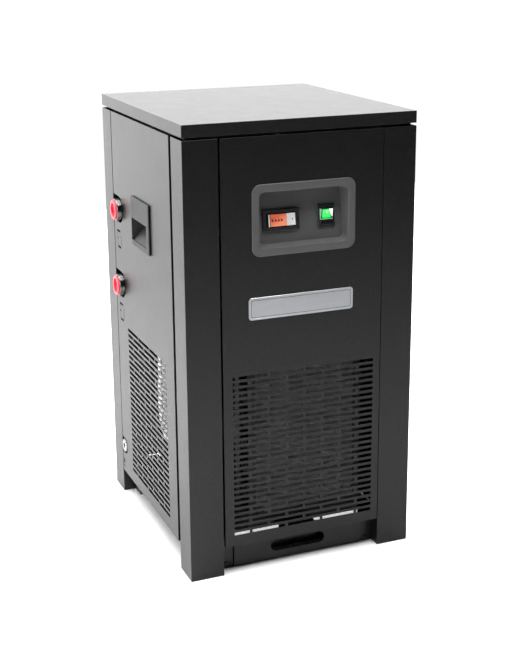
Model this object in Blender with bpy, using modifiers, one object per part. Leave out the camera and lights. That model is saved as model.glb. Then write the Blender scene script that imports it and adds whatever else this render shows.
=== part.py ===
"""Refrigerated compressed-air dryer, modelled as an assembly of separate pieces.

Units are metres, +Z is up and -Y is the front.  Every piece is placed in the cabinet's own
coordinates, centred on the cabinet's width and depth with z = 0 at the floor, by parenting it to
one empty.  The empty moves the cabinet so that the whole object's box is centred on the origin.
"""
from math import atan2, cos, pi, radians, sin

import bmesh
import bpy
from mathutils import Matrix, Vector

# ---------------------------------------------------------------- driving dimensions
WIDTH = 0.4375
DEPTH = 0.4846
HEIGHT = 0.825
SHEET = 0.0015            # sheet steel of the cabinet
GAP = 0.0003              # clearance between pieces that touch
REVEAL = 0.0006           # visible joint between two panels
REAR_REVEAL = 0.0030      # visible joint between a side panel and a rear post
PIPE_GAP = 0.0010         # clearance at the end of a bent pipe, whose cut may lean a little

LID_HEIGHT = 0.0214
LID_SHADOW_GAP = 0.0048   # dark line under the lid
POST_TOP = HEIGHT - LID_HEIGHT - LID_SHADOW_GAP
POST_FACE = 0.0633        # width of a corner post seen from the front
POST_SIDE_FRONT = 0.0584  # depth of a front post seen from the side
POST_SIDE_REAR = 0.0568
POST_LIP = 0.025          # return folds that stiffen a post

PANEL_FOLD = 0.0085       # depth of the folded rim of a panel
FRONT_PANEL_BOTTOM = 0.0547
SIDE_PANEL_BOTTOM = 0.0495
FRONT_PANEL_SHIFT = 0.0011
FRONT_PANEL_PLAY = 0.0025
SIDE_PANEL_FRONT = -0.173
GROOVE_DEPTH = 0.010      # joggle in a front post that backs the side panel's edge

VENT_ROWS = 28
VENT_PITCH = 0.011
VENT_HEIGHT = 0.0058
VENT_BOTTOM = 0.075
VENT_BRIDGE = 0.0055
FRONT_SLOT = 0.0645
SIDE_SLOT = 0.064
FRONT_VENT_WIDTH = 4 * FRONT_SLOT + 3 * VENT_BRIDGE
SIDE_VENT_HALF = (SIDE_SLOT - VENT_BRIDGE) / 2
SIDE_VENT_WIDTH = 3 * SIDE_SLOT + SIDE_VENT_HALF + 3 * VENT_BRIDGE
FRONT_VENT_CENTRE = 0.003
SIDE_VENT_FRONT = -0.1255

RAIL_RECESS = 0.022       # the base stands back from the front face
RAIL_HALF = 0.1273
RAIL_TOP = 0.0615
DECK_TOP = 0.0475

BEZEL_CENTRE = (0.002, 0.65325)
BEZEL_SIZE = (0.196, 0.1265)
BEZEL_OPENING = (0.1685, 0.098)
BEZEL_PROUD = 0.002
BEZEL_CORNER = 0.016
POCKET_DEPTH_TOP = 0.028
POCKET_DEPTH_BOTTOM = 0.012
POCKET_DRAFT = 0.0045     # each wall of the pocket leans in by this much

PORT_Y = 0.1475
PORT_HEIGHTS = {"inlet": 0.6106, "outlet": 0.4588}
PORT_SLOT_RADIUS = 0.026
PORT_RING_RADIUS = 0.0215
PORT_BORE = 0.0155
PORT_PROUD = 0.009
PORT_SEAT = 0.0084        # the plug's flange rests here, inside a low rim
PLUG_RADIUS = 0.0190
PLUG_REACH = 0.013        # how far a plug stands out of the left side
DRAIN_Y = 0.1665
DRAIN_Z = 0.1084
DRAIN_SLOT_RADIUS = 0.01675

HANDLE_PROUD = 0.004
HANDLE_Y = (-0.055, 0.053)
HANDLE_Z = (0.562, 0.656)
HANDLE_POCKET_Y = (-0.042, 0.049)
GLAND_REACH = 0.016

EXCHANGER_LOW = Vector((-0.060, 0.095, 0.3865))
EXCHANGER_HIGH = Vector((0.130, 0.212, 0.690))
COMPRESSOR_AXIS = Vector((0.035, 0.060))
COMPRESSOR_RADIUS = 0.075
COMPRESSOR_LOW = 0.0643
COMPRESSOR_HEIGHT = 0.168
CONDENSER_LOW = Vector((-0.092, -0.205, 0.088))
CONDENSER_HIGH = Vector((0.134, -0.161, 0.372))
FAN_CENTRE = Vector((0.021, -0.128, 0.230))
FAN_RADIUS = 0.092

# ---------------------------------------------------------------- derived places
LEFT = -WIDTH / 2
RIGHT = WIDTH / 2
FRONT = -DEPTH / 2
REAR = DEPTH / 2
CABINET_X = (PLUG_REACH - HANDLE_PROUD) / 2
CABINET_Y = (BEZEL_PROUD - GLAND_REACH) / 2

FINISHES = {              # colour, roughness, metallic
    "black_paint": ((0.018, 0.018, 0.020), 0.42, 0.0),
    "black_plastic": ((0.030, 0.030, 0.032), 0.50, 0.0),
    "dark_grey_plastic": ((0.050, 0.050, 0.053), 0.62, 0.0),
    "black_gloss": ((0.008, 0.008, 0.010), 0.10, 0.0),
    "black_rubber": ((0.020, 0.020, 0.020), 0.80, 0.0),
    "key_orange": ((0.80, 0.16, 0.07), 0.35, 0.0),
    "switch_green": ((0.03, 0.60, 0.12), 0.22, 0.0),
    "plug_red": ((0.72, 0.03, 0.07), 0.42, 0.0),
    "plate_silver": ((0.62, 0.63, 0.65), 0.32, 0.9),
    "nickel": ((0.66, 0.64, 0.60), 0.24, 1.0),
    "galvanised": ((0.56, 0.57, 0.58), 0.45, 0.9),
    "aluminium": ((0.55, 0.56, 0.57), 0.40, 0.9),
    "copper": ((0.72, 0.38, 0.24), 0.30, 1.0),
    "brass": ((0.70, 0.52, 0.22), 0.32, 1.0),
    "compressor_black": ((0.022, 0.022, 0.024), 0.36, 0.0),
    "foam_black": ((0.035, 0.035, 0.037), 0.92, 0.0),
    "conduit_silver": ((0.72, 0.72, 0.72), 0.38, 0.6),
    "hose_blue": ((0.05, 0.16, 0.46), 0.40, 0.0),
}

# ---------------------------------------------------------------- helpers
PARTS = None
CUTTERS = None
CABINET = None


def start_scene():
    """Empty the scene and make the two collections and the cabinet's empty."""
    global PARTS, CUTTERS, CABINET
    for leftover in list(bpy.data.objects):
        bpy.data.objects.remove(leftover, do_unlink=True)
    PARTS = bpy.data.collections.new("refrigerated_air_dryer")
    CUTTERS = bpy.data.collections.new("cutters")
    for collection in (PARTS, CUTTERS):
        bpy.context.scene.collection.children.link(collection)
    CABINET = bpy.data.objects.new("cabinet_frame", None)
    CABINET.location = (CABINET_X, CABINET_Y, 0)
    PARTS.objects.link(CABINET)


def finish_material(name):
    """The Principled material of one finish, made once."""
    if name in bpy.data.materials:
        return bpy.data.materials[name]
    colour, roughness, metallic = FINISHES[name]
    material = bpy.data.materials.new(name)
    material.use_nodes = True
    shader = material.node_tree.nodes["Principled BSDF"]
    shader.inputs["Base Color"].default_value = (*colour, 1)
    shader.inputs["Roughness"].default_value = roughness
    shader.inputs["Metallic"].default_value = metallic
    return material


def add_part(name, data, finish, location=(0, 0, 0), rotation=(0, 0, 0), parent=None):
    """Put a mesh or curve into the assembly as one named piece."""
    part = bpy.data.objects.new(name, data)
    PARTS.objects.link(part)
    part.parent = parent or CABINET
    part.location = location
    part.rotation_euler = rotation
    data.materials.append(finish_material(finish))
    return part


def add_cutter(name, data, location=(0, 0, 0), rotation=(0, 0, 0), parent=None):
    """Put a mesh into the cutters' collection, hidden from the model."""
    cutter = bpy.data.objects.new(name, data)
    CUTTERS.objects.link(cutter)
    cutter.parent = parent or CABINET
    cutter.location = location
    cutter.rotation_euler = rotation
    cutter.hide_render = True
    cutter.display_type = 'WIRE'
    return cutter


def boolean(part, cutter, operation='DIFFERENCE'):
    modifier = part.modifiers.new(cutter.name, 'BOOLEAN')
    modifier.operation = operation
    modifier.object = cutter


def box_mesh(name, low, high):
    """A box between two corners, as a mesh with its origin at the frame's origin."""
    return boxes_mesh(name, [(low, high)])


def boxes_mesh(name, corners):
    """One mesh of several boxes that don't touch, each given by two corners."""
    mesh = bpy.data.meshes.new(name)
    shape = bmesh.new()
    for low, high in corners:
        low, high = Vector(low), Vector(high)
        place = Matrix.Translation((low + high) / 2) @ Matrix.Diagonal((*(high - low), 1))
        bmesh.ops.create_cube(shape, size=1, matrix=place)
    shape.to_mesh(mesh)
    shape.free()
    return mesh


def block(name, low, high, finish, bevel=0, parent=None):
    """A solid box piece with optional rounded edges."""
    centre = (Vector(low) + Vector(high)) / 2
    part = add_part(name, box_mesh(name, Vector(low) - centre, Vector(high) - centre), finish,
                    location=centre, parent=parent)
    if bevel:
        round_edges(part, bevel)
    return part


def round_edges(part, width, segments=1):
    modifier = part.modifiers.new("rounded_edges", 'BEVEL')
    modifier.width = width
    modifier.segments = segments
    modifier.limit_method = 'ANGLE'
    modifier.angle_limit = radians(40)


def solidify(part, thickness, offset=-1):
    modifier = part.modifiers.new("sheet", 'SOLIDIFY')
    modifier.thickness = thickness
    modifier.offset = offset
    modifier.use_even_offset = True


def open_box(name, low, high, open_side, finish, thickness=SHEET):
    """A folded tray: a box without the side that open_side points to, with walls inside it."""
    centre = (Vector(low) + Vector(high)) / 2
    mesh = box_mesh(name, Vector(low) - centre, Vector(high) - centre)
    shape = bmesh.new()
    shape.from_mesh(mesh)
    missing = [face for face in shape.faces if face.normal.dot(Vector(open_side)) > 0.9]
    bmesh.ops.delete(shape, geom=missing, context='FACES_ONLY')
    shape.to_mesh(mesh)
    shape.free()
    part = add_part(name, mesh, finish, location=centre)
    solidify(part, thickness)
    return part


def folded_section(name, outline, bottom, top, finish, thickness=SHEET):
    """A strip of sheet folded along the plan outline and standing from bottom to top."""
    mesh = bpy.data.meshes.new(name)
    shape = bmesh.new()
    low = [shape.verts.new((x, y, bottom)) for x, y in outline]
    edges = [shape.edges.new(pair) for pair in zip(low, low[1:])]
    raised = bmesh.ops.extrude_edge_only(shape, edges=edges)["geom"]
    lifted = [item for item in raised if isinstance(item, bmesh.types.BMVert)]
    bmesh.ops.translate(shape, verts=lifted, vec=(0, 0, top - bottom))
    shape.to_mesh(mesh)
    shape.free()
    part = add_part(name, mesh, finish)
    solidify(part, thickness)
    return part


def outline_mesh(name, outlines, thickness):
    """A flat plate in the XY plane, centred on z = 0, from closed outlines; later ones are holes."""
    curve = bpy.data.curves.new(name, 'CURVE')
    curve.dimensions = '2D'
    curve.fill_mode = 'BOTH'
    curve.extrude = thickness / 2
    for outline in outlines:
        spline = curve.splines.new('POLY')
        spline.points.add(len(outline) - 1)
        for point, (x, y) in zip(spline.points, outline):
            point.co = (x, y, 0, 1)
        spline.use_cyclic_u = True
    guide = bpy.data.objects.new(name + "_guide", curve)
    bpy.context.scene.collection.objects.link(guide)
    bpy.context.view_layer.update()
    evaluated = guide.evaluated_get(bpy.context.evaluated_depsgraph_get())
    mesh = bpy.data.meshes.new_from_object(evaluated)
    mesh.name = name
    bpy.data.objects.remove(guide, do_unlink=True)
    shape = bmesh.new()
    shape.from_mesh(mesh)
    bmesh.ops.remove_doubles(shape, verts=shape.verts, dist=0.00001)
    shape.to_mesh(mesh)
    shape.free()
    mesh.materials.clear()
    return mesh


def rounded_rectangle(width, height, radius, steps=4):
    """Corner points of a rounded rectangle about the origin, anticlockwise."""
    points = []
    centres = ((1, 1), (-1, 1), (-1, -1), (1, -1))
    for quarter, (side_x, side_y) in enumerate(centres):
        for step in range(steps + 1):
            angle = (quarter + step / steps) * pi / 2
            points.append((side_x * (width / 2 - radius) + radius * cos(angle),
                           side_y * (height / 2 - radius) + radius * sin(angle)))
    return points


def cylinder_mesh(name, radius, length, segments=24):
    """A cylinder along Z from z = 0 to z = length."""
    mesh = bpy.data.meshes.new(name)
    shape = bmesh.new()
    bmesh.ops.create_cone(shape, cap_ends=True, segments=segments, radius1=radius, radius2=radius,
                          depth=length, matrix=Matrix.Translation((0, 0, length / 2)))
    shape.to_mesh(mesh)
    shape.free()
    return mesh


def turned(name, profile, finish, location=(0, 0, 0), rotation=(0, 0, 0), closed=False, steps=24,
           parent=None):
    """A turned piece about its own Z axis; profile is (radius, height) down its outer side."""
    mesh = bpy.data.meshes.new(name)
    shape = bmesh.new()
    points = [shape.verts.new((radius, 0, height)) for radius, height in profile]
    pairs = list(zip(points, points[1:]))
    if closed:
        pairs.append((points[-1], points[0]))
    for pair in pairs:
        shape.edges.new(pair)
    shape.to_mesh(mesh)
    shape.free()
    part = add_part(name, mesh, finish, location, rotation, parent)
    screw = part.modifiers.new("turned", 'SCREW')
    screw.steps = steps
    screw.render_steps = steps
    screw.use_merge_vertices = True
    screw.merge_threshold = 0.00001
    screw.use_smooth_shade = True
    return part


def smooth_route(stations, per_span):
    """Points along a Catmull-Rom curve through the stations."""
    stations = [Vector(station) for station in stations]
    padded = [2 * stations[0] - stations[1]] + stations + [2 * stations[-1] - stations[-2]]
    route = []
    for i in range(1, len(padded) - 2):
        before, start, end, after = padded[i - 1:i + 3]
        for step in range(per_span):
            t = step / per_span
            route.append(0.5 * (2 * start + (end - before) * t
                                + (2 * before - 5 * start + 4 * end - after) * t ** 2
                                + (3 * start - before - 3 * end + after) * t ** 3))
    route.append(stations[-1])
    return route


def tube(name, stations, radius, finish, per_span=3):
    """A round pipe or hose along a smooth route."""
    curve = bpy.data.curves.new(name, 'CURVE')
    curve.dimensions = '3D'
    curve.bevel_depth = radius
    curve.bevel_resolution = 2
    curve.use_fill_caps = True
    route = smooth_route(stations, per_span)
    spline = curve.splines.new('POLY')
    spline.points.add(len(route) - 1)
    for point, place in zip(spline.points, route):
        point.co = (*place, 1)
    return add_part(name, curve, finish)


TO_PLUS_X = (0, pi / 2, 0)
TO_MINUS_X = (0, -pi / 2, 0)
TO_PLUS_Y = (-pi / 2, 0, 0)
TO_MINUS_Y = (pi / 2, 0, 0)


# ---------------------------------------------------------------- base and frame
def build_base():
    """Front and rear rails, the deck and the four corner brackets that stand on the floor."""
    rail_bottom = 0.0015
    rail_flange = 0.010
    for name, side in (("base_rail_front", -1), ("base_rail_rear", 1)):
        face = side * (DEPTH / 2 - RAIL_RECESS)
        back = face - side * rail_flange
        low = (-RAIL_HALF, min(face, back), rail_bottom)
        high = (RAIL_HALF, max(face, back), RAIL_TOP)
        rail = open_box(name, low, high, (0, -side, 0), "black_paint", 0.002)
        if side < 0:
            slot_size = (0.109, 0.022)
            slot = outline_mesh("pull_slot", [rounded_rectangle(*slot_size, 0.0109, 6)], 0.03)
            boolean(rail, add_cutter("pull_slot", slot, (0, face, 0.0284), TO_MINUS_Y))
    open_box("base_deck", (-0.186, FRONT + 0.042, 0.014), (0.186, 0.205, DECK_TOP), (0, 0, -1),
             "black_paint")
    build_base_brackets()


def build_base_brackets():
    """Angle brackets on the floor: a standing leg and a foot, one at each corner."""
    leg_height = 0.056
    foot = 0.028
    sheet = 0.002
    front_face = FRONT + 0.0262
    for name, side in (("base_bracket_front_left", -1), ("base_bracket_front_right", 1)):
        inner, outer = side * (RAIL_HALF + 0.0006), side * 0.1645
        profile = [(front_face, leg_height), (front_face, 0), (front_face + foot, 0),
                   (front_face + foot, sheet), (front_face + sheet, sheet),
                   (front_face + sheet, leg_height)]
        mesh = outline_mesh(name, [profile], abs(outer - inner))
        add_part(name, mesh, "black_paint", ((inner + outer) / 2, 0, 0), (pi / 2, 0, pi / 2))
    side_face = WIDTH / 2 - 0.0245
    for name, side in (("base_bracket_rear_left", -1), ("base_bracket_rear_right", 1)):
        near, far = 0.151, REAR - POST_SIDE_REAR - REVEAL
        face = side * side_face
        profile = [(face, leg_height), (face, 0), (face - side * foot, 0),
                   (face - side * foot, sheet), (face - side * sheet, sheet),
                   (face - side * sheet, leg_height)]
        mesh = outline_mesh(name, [profile], far - near)
        add_part(name, mesh, "black_paint", (0, (near + far) / 2, 0), (pi / 2, 0, 0))


def build_posts():
    """Four folded corner posts from the floor to the lid's seal."""
    for side_name, side in (("left", -1), ("right", 1)):
        outer = side * WIDTH / 2
        inner = side * (WIDTH / 2 - POST_FACE)
        groove = side * (WIDTH / 2 - GROOVE_DEPTH)
        side_end = FRONT + POST_SIDE_FRONT
        front_plan = [(inner, FRONT + POST_LIP), (inner, FRONT), (outer, FRONT), (outer, side_end),
                      (groove, side_end), (groove, side_end + POST_LIP)]
        rear_end = REAR - POST_SIDE_REAR
        rear_plan = [(outer - side * POST_LIP, rear_end), (outer, rear_end), (outer, REAR),
                     (inner, REAR), (inner, REAR - POST_LIP)]
        if side > 0:
            front_plan.reverse()
            rear_plan.reverse()
        folded_section("corner_post_front_" + side_name, front_plan, 0, POST_TOP, "black_paint")
        folded_section("corner_post_rear_" + side_name, rear_plan, 0, POST_TOP, "black_paint")


def build_lid():
    """The folded top cover and the sponge strip that it stands on."""
    open_box("top_cover", (LEFT, FRONT, HEIGHT - LID_HEIGHT), (RIGHT, REAR, HEIGHT), (0, 0, -1),
             "black_paint")
    inset, strip = 0.0075, 0.012
    bottom, top = POST_TOP + GAP, HEIGHT - SHEET - GAP
    width, depth = WIDTH - 2 * inset, DEPTH - 2 * inset
    outer = [(-width / 2, -depth / 2), (width / 2, -depth / 2), (width / 2, depth / 2),
             (-width / 2, depth / 2)]
    inner = [(x * (1 - 2 * strip / width), y * (1 - 2 * strip / depth)) for x, y in outer]
    mesh = outline_mesh("lid_seal", [outer, inner], top - bottom)
    add_part("lid_seal", mesh, "foam_black", (0, 0, (bottom + top) / 2))


# ---------------------------------------------------------------- panels
def vent_rows(start, slot, half, wide_rows):
    """Slot spans of two alternating brick rows; each row is a list of (low, high)."""
    rows = []
    for widths in wide_rows:
        place = start
        row = []
        for kind in widths:
            length = slot if kind == "slot" else half
            row.append((place, place + length))
            place += length + VENT_BRIDGE
        rows.append(row)
    return [rows[index % 2] for index in range(VENT_ROWS)]


def vent_cutter(name, rows, face, axis):
    """One cutter for a field of vents in a panel whose outer face lies at face on the axis."""
    reach = 0.004
    corners = []
    for index, row in enumerate(rows):
        low_z = VENT_BOTTOM + index * VENT_PITCH
        high_z = low_z + VENT_HEIGHT
        for start, end in row:
            if axis == 'Y':
                corners.append(((start, face - reach, low_z), (end, face + reach, high_z)))
            else:
                corners.append(((face - reach, start, low_z), (face + reach, end, high_z)))
    return add_cutter(name, boxes_mesh(name, corners))


def build_front_panel():
    half_width = WIDTH / 2 - POST_FACE - FRONT_PANEL_PLAY
    panel = open_box("front_panel",
                     (FRONT_PANEL_SHIFT - half_width, FRONT, FRONT_PANEL_BOTTOM),
                     (FRONT_PANEL_SHIFT + half_width, FRONT + PANEL_FOLD, POST_TOP), (0, 1, 0),
                     "black_paint")
    start = FRONT_VENT_CENTRE - FRONT_VENT_WIDTH / 2
    half = (FRONT_SLOT - VENT_BRIDGE) / 2
    rows = vent_rows(start, FRONT_SLOT, half,
                     (["half", "slot", "slot", "slot", "half"], ["slot"] * 4))
    boolean(panel, vent_cutter("front_vents", rows, FRONT, 'Y'))
    body = bezel_body_size(0.0006)
    cut = outline_mesh("bezel_hole", [rounded_rectangle(*body, 0.012)], 0.02)
    boolean(panel, add_cutter("bezel_hole", cut, (BEZEL_CENTRE[0], FRONT, BEZEL_CENTRE[1]), TO_MINUS_Y))


def port_slot_mesh(name, radius, centre_y, reach):
    """A slot with a round front end, open towards the rear, as a cutter about its centre."""
    steps = 10
    arc = [(radius * cos(pi / 2 + pi * i / steps), radius * sin(pi / 2 + pi * i / steps))
           for i in range(steps + 1)]
    straight = REAR - POST_SIDE_REAR - centre_y + 0.006
    return outline_mesh(name, [arc + [(straight, -radius), (straight, radius)]], reach)


def build_side_panels():
    """Left panel with port slots and vents, right panel plain; both have a handle."""
    rear_edge = REAR - POST_SIDE_REAR - REAR_REVEAL
    for name, side in (("side_panel_left", -1), ("side_panel_right", 1)):
        outer, inner = side * WIDTH / 2, side * (WIDTH / 2 - PANEL_FOLD)
        panel = open_box(name, (min(outer, inner), SIDE_PANEL_FRONT, SIDE_PANEL_BOTTOM),
                         (max(outer, inner), rear_edge, POST_TOP), (-side, 0, 0), "black_paint")
        hole_low, hole_high = handle_body(0.0006)
        hole = box_mesh(name + "_handle_hole", (outer - 0.015, hole_low[0], hole_low[1]),
                        (outer + 0.015, hole_high[0], hole_high[1]))
        boolean(panel, add_cutter(name + "_handle_hole", hole))
        if side < 0:
            rows = vent_rows(SIDE_VENT_FRONT, SIDE_SLOT, SIDE_VENT_HALF,
                             (["slot", "slot", "slot", "half"], ["half", "slot", "slot", "slot"]))
            boolean(panel, vent_cutter("side_vents", rows, outer, 'X'))
            cut_port_slots(panel)


def cut_port_slots(panel):
    """The open-ended slots that let the panel slide over the fittings."""
    reach = 0.04
    for port, height in PORT_HEIGHTS.items():
        mesh = port_slot_mesh(port + "_slot", PORT_SLOT_RADIUS, PORT_Y, reach)
        boolean(panel, add_cutter(port + "_slot", mesh, (LEFT, PORT_Y, height), (pi / 2, 0, pi / 2)))
    mesh = port_slot_mesh("drain_slot", DRAIN_SLOT_RADIUS, DRAIN_Y, reach)
    boolean(panel, add_cutter("drain_slot", mesh, (LEFT, DRAIN_Y, DRAIN_Z), (pi / 2, 0, pi / 2)))


GLAND_PLACE = (0.105, 0.110)
GLAND_THREAD = 0.0095


def build_rear_panel():
    half_width = WIDTH / 2 - POST_FACE - FRONT_PANEL_PLAY
    panel = open_box("rear_panel", (-half_width, REAR - PANEL_FOLD, SIDE_PANEL_BOTTOM),
                     (half_width, REAR, POST_TOP), (0, -1, 0), "black_paint")
    hole = cylinder_mesh("gland_hole", GLAND_THREAD + 0.0005, 0.03)
    boolean(panel, add_cutter("gland_hole", hole, (GLAND_PLACE[0], REAR - 0.02, GLAND_PLACE[1]),
                              TO_PLUS_Y))
    turned("cable_gland",
           [(0.0045, GLAND_REACH), (0.009, GLAND_REACH), (0.0125, 0.010), (0.0125, 0.0004),
            (GLAND_THREAD, 0.0004), (GLAND_THREAD, -0.014), (0.0045, -0.014)],
           "black_plastic", (GLAND_PLACE[0], REAR, GLAND_PLACE[1]), TO_PLUS_Y, closed=True)


# ---------------------------------------------------------------- handles
HANDLE_WALL = 0.0022


def handle_body(extra=0.0):
    """(y, z) corners of the moulded body behind a handle's flange."""
    margin_z = 0.005
    return ((HANDLE_POCKET_Y[0] - HANDLE_WALL - extra, HANDLE_Z[0] + margin_z - extra),
            (HANDLE_POCKET_Y[1] + HANDLE_WALL + extra, HANDLE_Z[1] - margin_z + extra))


def build_handles():
    """Moulded finger cups: a flange on the panel and a pocket that opens under a hood."""
    body_depth = 0.032
    for name, side in (("handle_cup_left", -1), ("handle_cup_right", 1)):
        face = side * WIDTH / 2
        outer, seat = face + side * HANDLE_PROUD, face + side * GAP
        cup = block(name, (min(outer, seat), HANDLE_Y[0], HANDLE_Z[0]),
                    (max(outer, seat), HANDLE_Y[1], HANDLE_Z[1]), "black_plastic")
        chamfer = cup.modifiers.new("flange_edge", 'BEVEL')
        chamfer.width = 0.0024
        chamfer.segments = 2
        low, high = handle_body()
        back = face - side * body_depth
        front = face + side * HANDLE_PROUD / 2
        body = box_mesh(name + "_body", (min(back, front), *low), (max(back, front), *high))
        boolean(cup, add_cutter(name + "_body", body), 'UNION')
        hood_bottom, hood_back = 0.615, -0.003
        sill, roof, floor_back = 0.5725, 0.6485, 0.602
        deep = -body_depth + HANDLE_WALL
        profile = [(0.008, sill), (0.008, hood_bottom), (hood_back, hood_bottom), (hood_back, roof),
                   (deep, roof), (deep, floor_back), (0, sill)]
        profile = [(side * x, z) for x, z in profile]
        mesh = outline_mesh(name + "_pocket", [profile], HANDLE_POCKET_Y[1] - HANDLE_POCKET_Y[0])
        middle = sum(HANDLE_POCKET_Y) / 2
        boolean(cup, add_cutter(name + "_pocket", mesh, (face, middle, 0), (pi / 2, 0, 0)))


# ---------------------------------------------------------------- control panel
CONTROL_Z = 0.6475
POCKET_RISE = POCKET_DEPTH_TOP - POCKET_DEPTH_BOTTOM
POCKET_TILT = -atan2(POCKET_RISE, BEZEL_OPENING[1])
HOUSING_SIZE = (0.0693, 0.0366)
HOUSING_X = -0.035
HOUSING_BODY = (0.0655, 0.0330)
WINDOW_SIZE = (0.0570, 0.0262)
SWITCH_SIZE = (0.0330, 0.0400)
SWITCH_X = 0.0515
SWITCH_BODY = (0.0285, 0.0355)
ROCKER_SIZE = (0.0236, 0.0312)
KEY_PITCH = 0.0059
KEY_RADIUS = 0.0021
KEYPAD = ((-0.0200, 0.0100), (-0.0105, 0.0105))


def bezel_body_size(extra=0.0):
    """Width and height of the bezel's moulded pocket where it passes through the front panel."""
    wall = 0.0035
    return BEZEL_OPENING[0] + 2 * (wall + extra), BEZEL_OPENING[1] + 2 * (wall + extra)


def pocket_depth(height):
    """Depth of the pocket's sloping back at a height, behind the front face."""
    low = BEZEL_CENTRE[1] - BEZEL_OPENING[1] / 2
    return POCKET_DEPTH_BOTTOM + POCKET_RISE * (height - low) / BEZEL_OPENING[1]


def build_control_bezel():
    """A moulded surround with a pocket whose back slopes, deepest at the top."""
    centre_x, centre_z = BEZEL_CENTRE
    flange_back = -GAP
    flange = outline_mesh("control_bezel", [rounded_rectangle(*BEZEL_SIZE, BEZEL_CORNER, 5)],
                          BEZEL_PROUD + flange_back)
    bezel = add_part("control_bezel", flange, "dark_grey_plastic",
                     (centre_x, FRONT - (BEZEL_PROUD - flange_back) / 2, centre_z), TO_MINUS_Y)
    body_back = POCKET_DEPTH_TOP + 0.003
    body = outline_mesh("bezel_body", [rounded_rectangle(*bezel_body_size(), 0.0114)],
                        body_back + BEZEL_PROUD / 2)
    boolean(bezel, add_cutter("bezel_body", body,
                              (centre_x, FRONT + (body_back - BEZEL_PROUD / 2) / 2, centre_z),
                              TO_MINUS_Y), 'UNION')
    boolean(bezel, add_cutter("bezel_pocket", pocket_mesh(), (centre_x, FRONT, centre_z)))
    plane = control_plane()
    for name, size, middle in (("housing_hole", HOUSING_BODY, HOUSING_X),
                               ("switch_hole", SWITCH_BODY, SWITCH_X)):
        half_x, half_z = size[0] / 2 + 0.0005, size[1] / 2 + 0.0005
        hole = box_mesh(name, (middle - half_x, -0.02, -half_z), (middle + half_x, 0.03, half_z))
        boolean(bezel, add_cutter(name, hole, parent=plane))
    return plane


def pocket_mesh():
    """The pocket's space: a box whose back corners are drawn in and pushed to the sloping back."""
    half_x, half_z = BEZEL_OPENING[0] / 2, BEZEL_OPENING[1] / 2
    mesh = box_mesh("bezel_pocket", (-half_x, -BEZEL_PROUD - 0.0005, -half_z), (half_x, 0.01, half_z))
    for vertex in mesh.vertices:
        if vertex.co.y > 0:
            vertex.co.x -= POCKET_DRAFT if vertex.co.x > 0 else -POCKET_DRAFT
            vertex.co.z -= POCKET_DRAFT if vertex.co.z > 0 else -POCKET_DRAFT
            vertex.co.y = pocket_depth(BEZEL_CENTRE[1] + vertex.co.z)
    return mesh


def control_plane():
    """An empty on the pocket's sloping back; its -Y looks out of the pocket."""
    plane = bpy.data.objects.new("control_plane", None)
    PARTS.objects.link(plane)
    plane.parent = CABINET
    plane.location = (0, FRONT + pocket_depth(CONTROL_Z), CONTROL_Z)
    plane.rotation_euler = (POCKET_TILT, 0, 0)
    bpy.context.view_layer.update()
    return plane


def build_controller(plane):
    """Digital controller: frame and body, window, keypad and four keys."""
    face, body_depth = -0.0045, 0.048
    half = [side / 2 for side in HOUSING_SIZE]
    housing = block("controller_housing", (HOUSING_X - half[0], face, -half[1]),
                    (HOUSING_X + half[0], -GAP, half[1]), "black_plastic", 0.0008, plane)
    body_half = [side / 2 for side in HOUSING_BODY]
    body = box_mesh("housing_body", (HOUSING_X - body_half[0], face / 2, -body_half[1]),
                    (HOUSING_X + body_half[0], body_depth, body_half[1]))
    boolean(housing, add_cutter("housing_body", body, parent=plane), 'UNION')
    window_half = [side / 2 for side in WINDOW_SIZE]
    recess = 0.0022
    well = box_mesh("window_well", (HOUSING_X - window_half[0], face - 0.01, -window_half[1]),
                    (HOUSING_X + window_half[0], face + recess, window_half[1]))
    boolean(housing, add_cutter("window_well", well, parent=plane))
    glass = 0.0009
    floor = face + recess - GAP
    block("controller_window",
          (HOUSING_X - window_half[0] + GAP, floor - glass, -window_half[1] + GAP),
          (HOUSING_X + window_half[0] - GAP, floor, window_half[1] - GAP), "black_gloss", 0,
          plane)
    pad_back = floor - glass - GAP
    (pad_left, pad_right), (pad_low, pad_high) = KEYPAD
    pad_front = pad_back - 0.0008
    pad = block("controller_keypad", (HOUSING_X + pad_left, pad_front, pad_low),
                (HOUSING_X + pad_right, pad_back, pad_high), "key_orange", 0, plane)
    first_key = HOUSING_X - 0.0168
    for index in range(4):
        key_x = first_key + index * KEY_PITCH
        hole = cylinder_mesh("key_hole", KEY_RADIUS + GAP, 0.01, 16)
        boolean(pad, add_cutter("key_hole_%d" % (index + 1), hole, (key_x, pad_back + 0.002, 0),
                                TO_MINUS_Y, plane))
        key_front, key_travel = 0.0019, 0.0006
        turned("controller_key_%d" % (index + 1),
               [(0, key_front), (KEY_RADIUS * 0.8, key_front), (KEY_RADIUS, key_front - 0.0003),
                (KEY_RADIUS, key_travel), (0, key_travel)],
               "black_rubber", (key_x, pad_back, 0), TO_MINUS_Y, steps=16, parent=plane)


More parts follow.
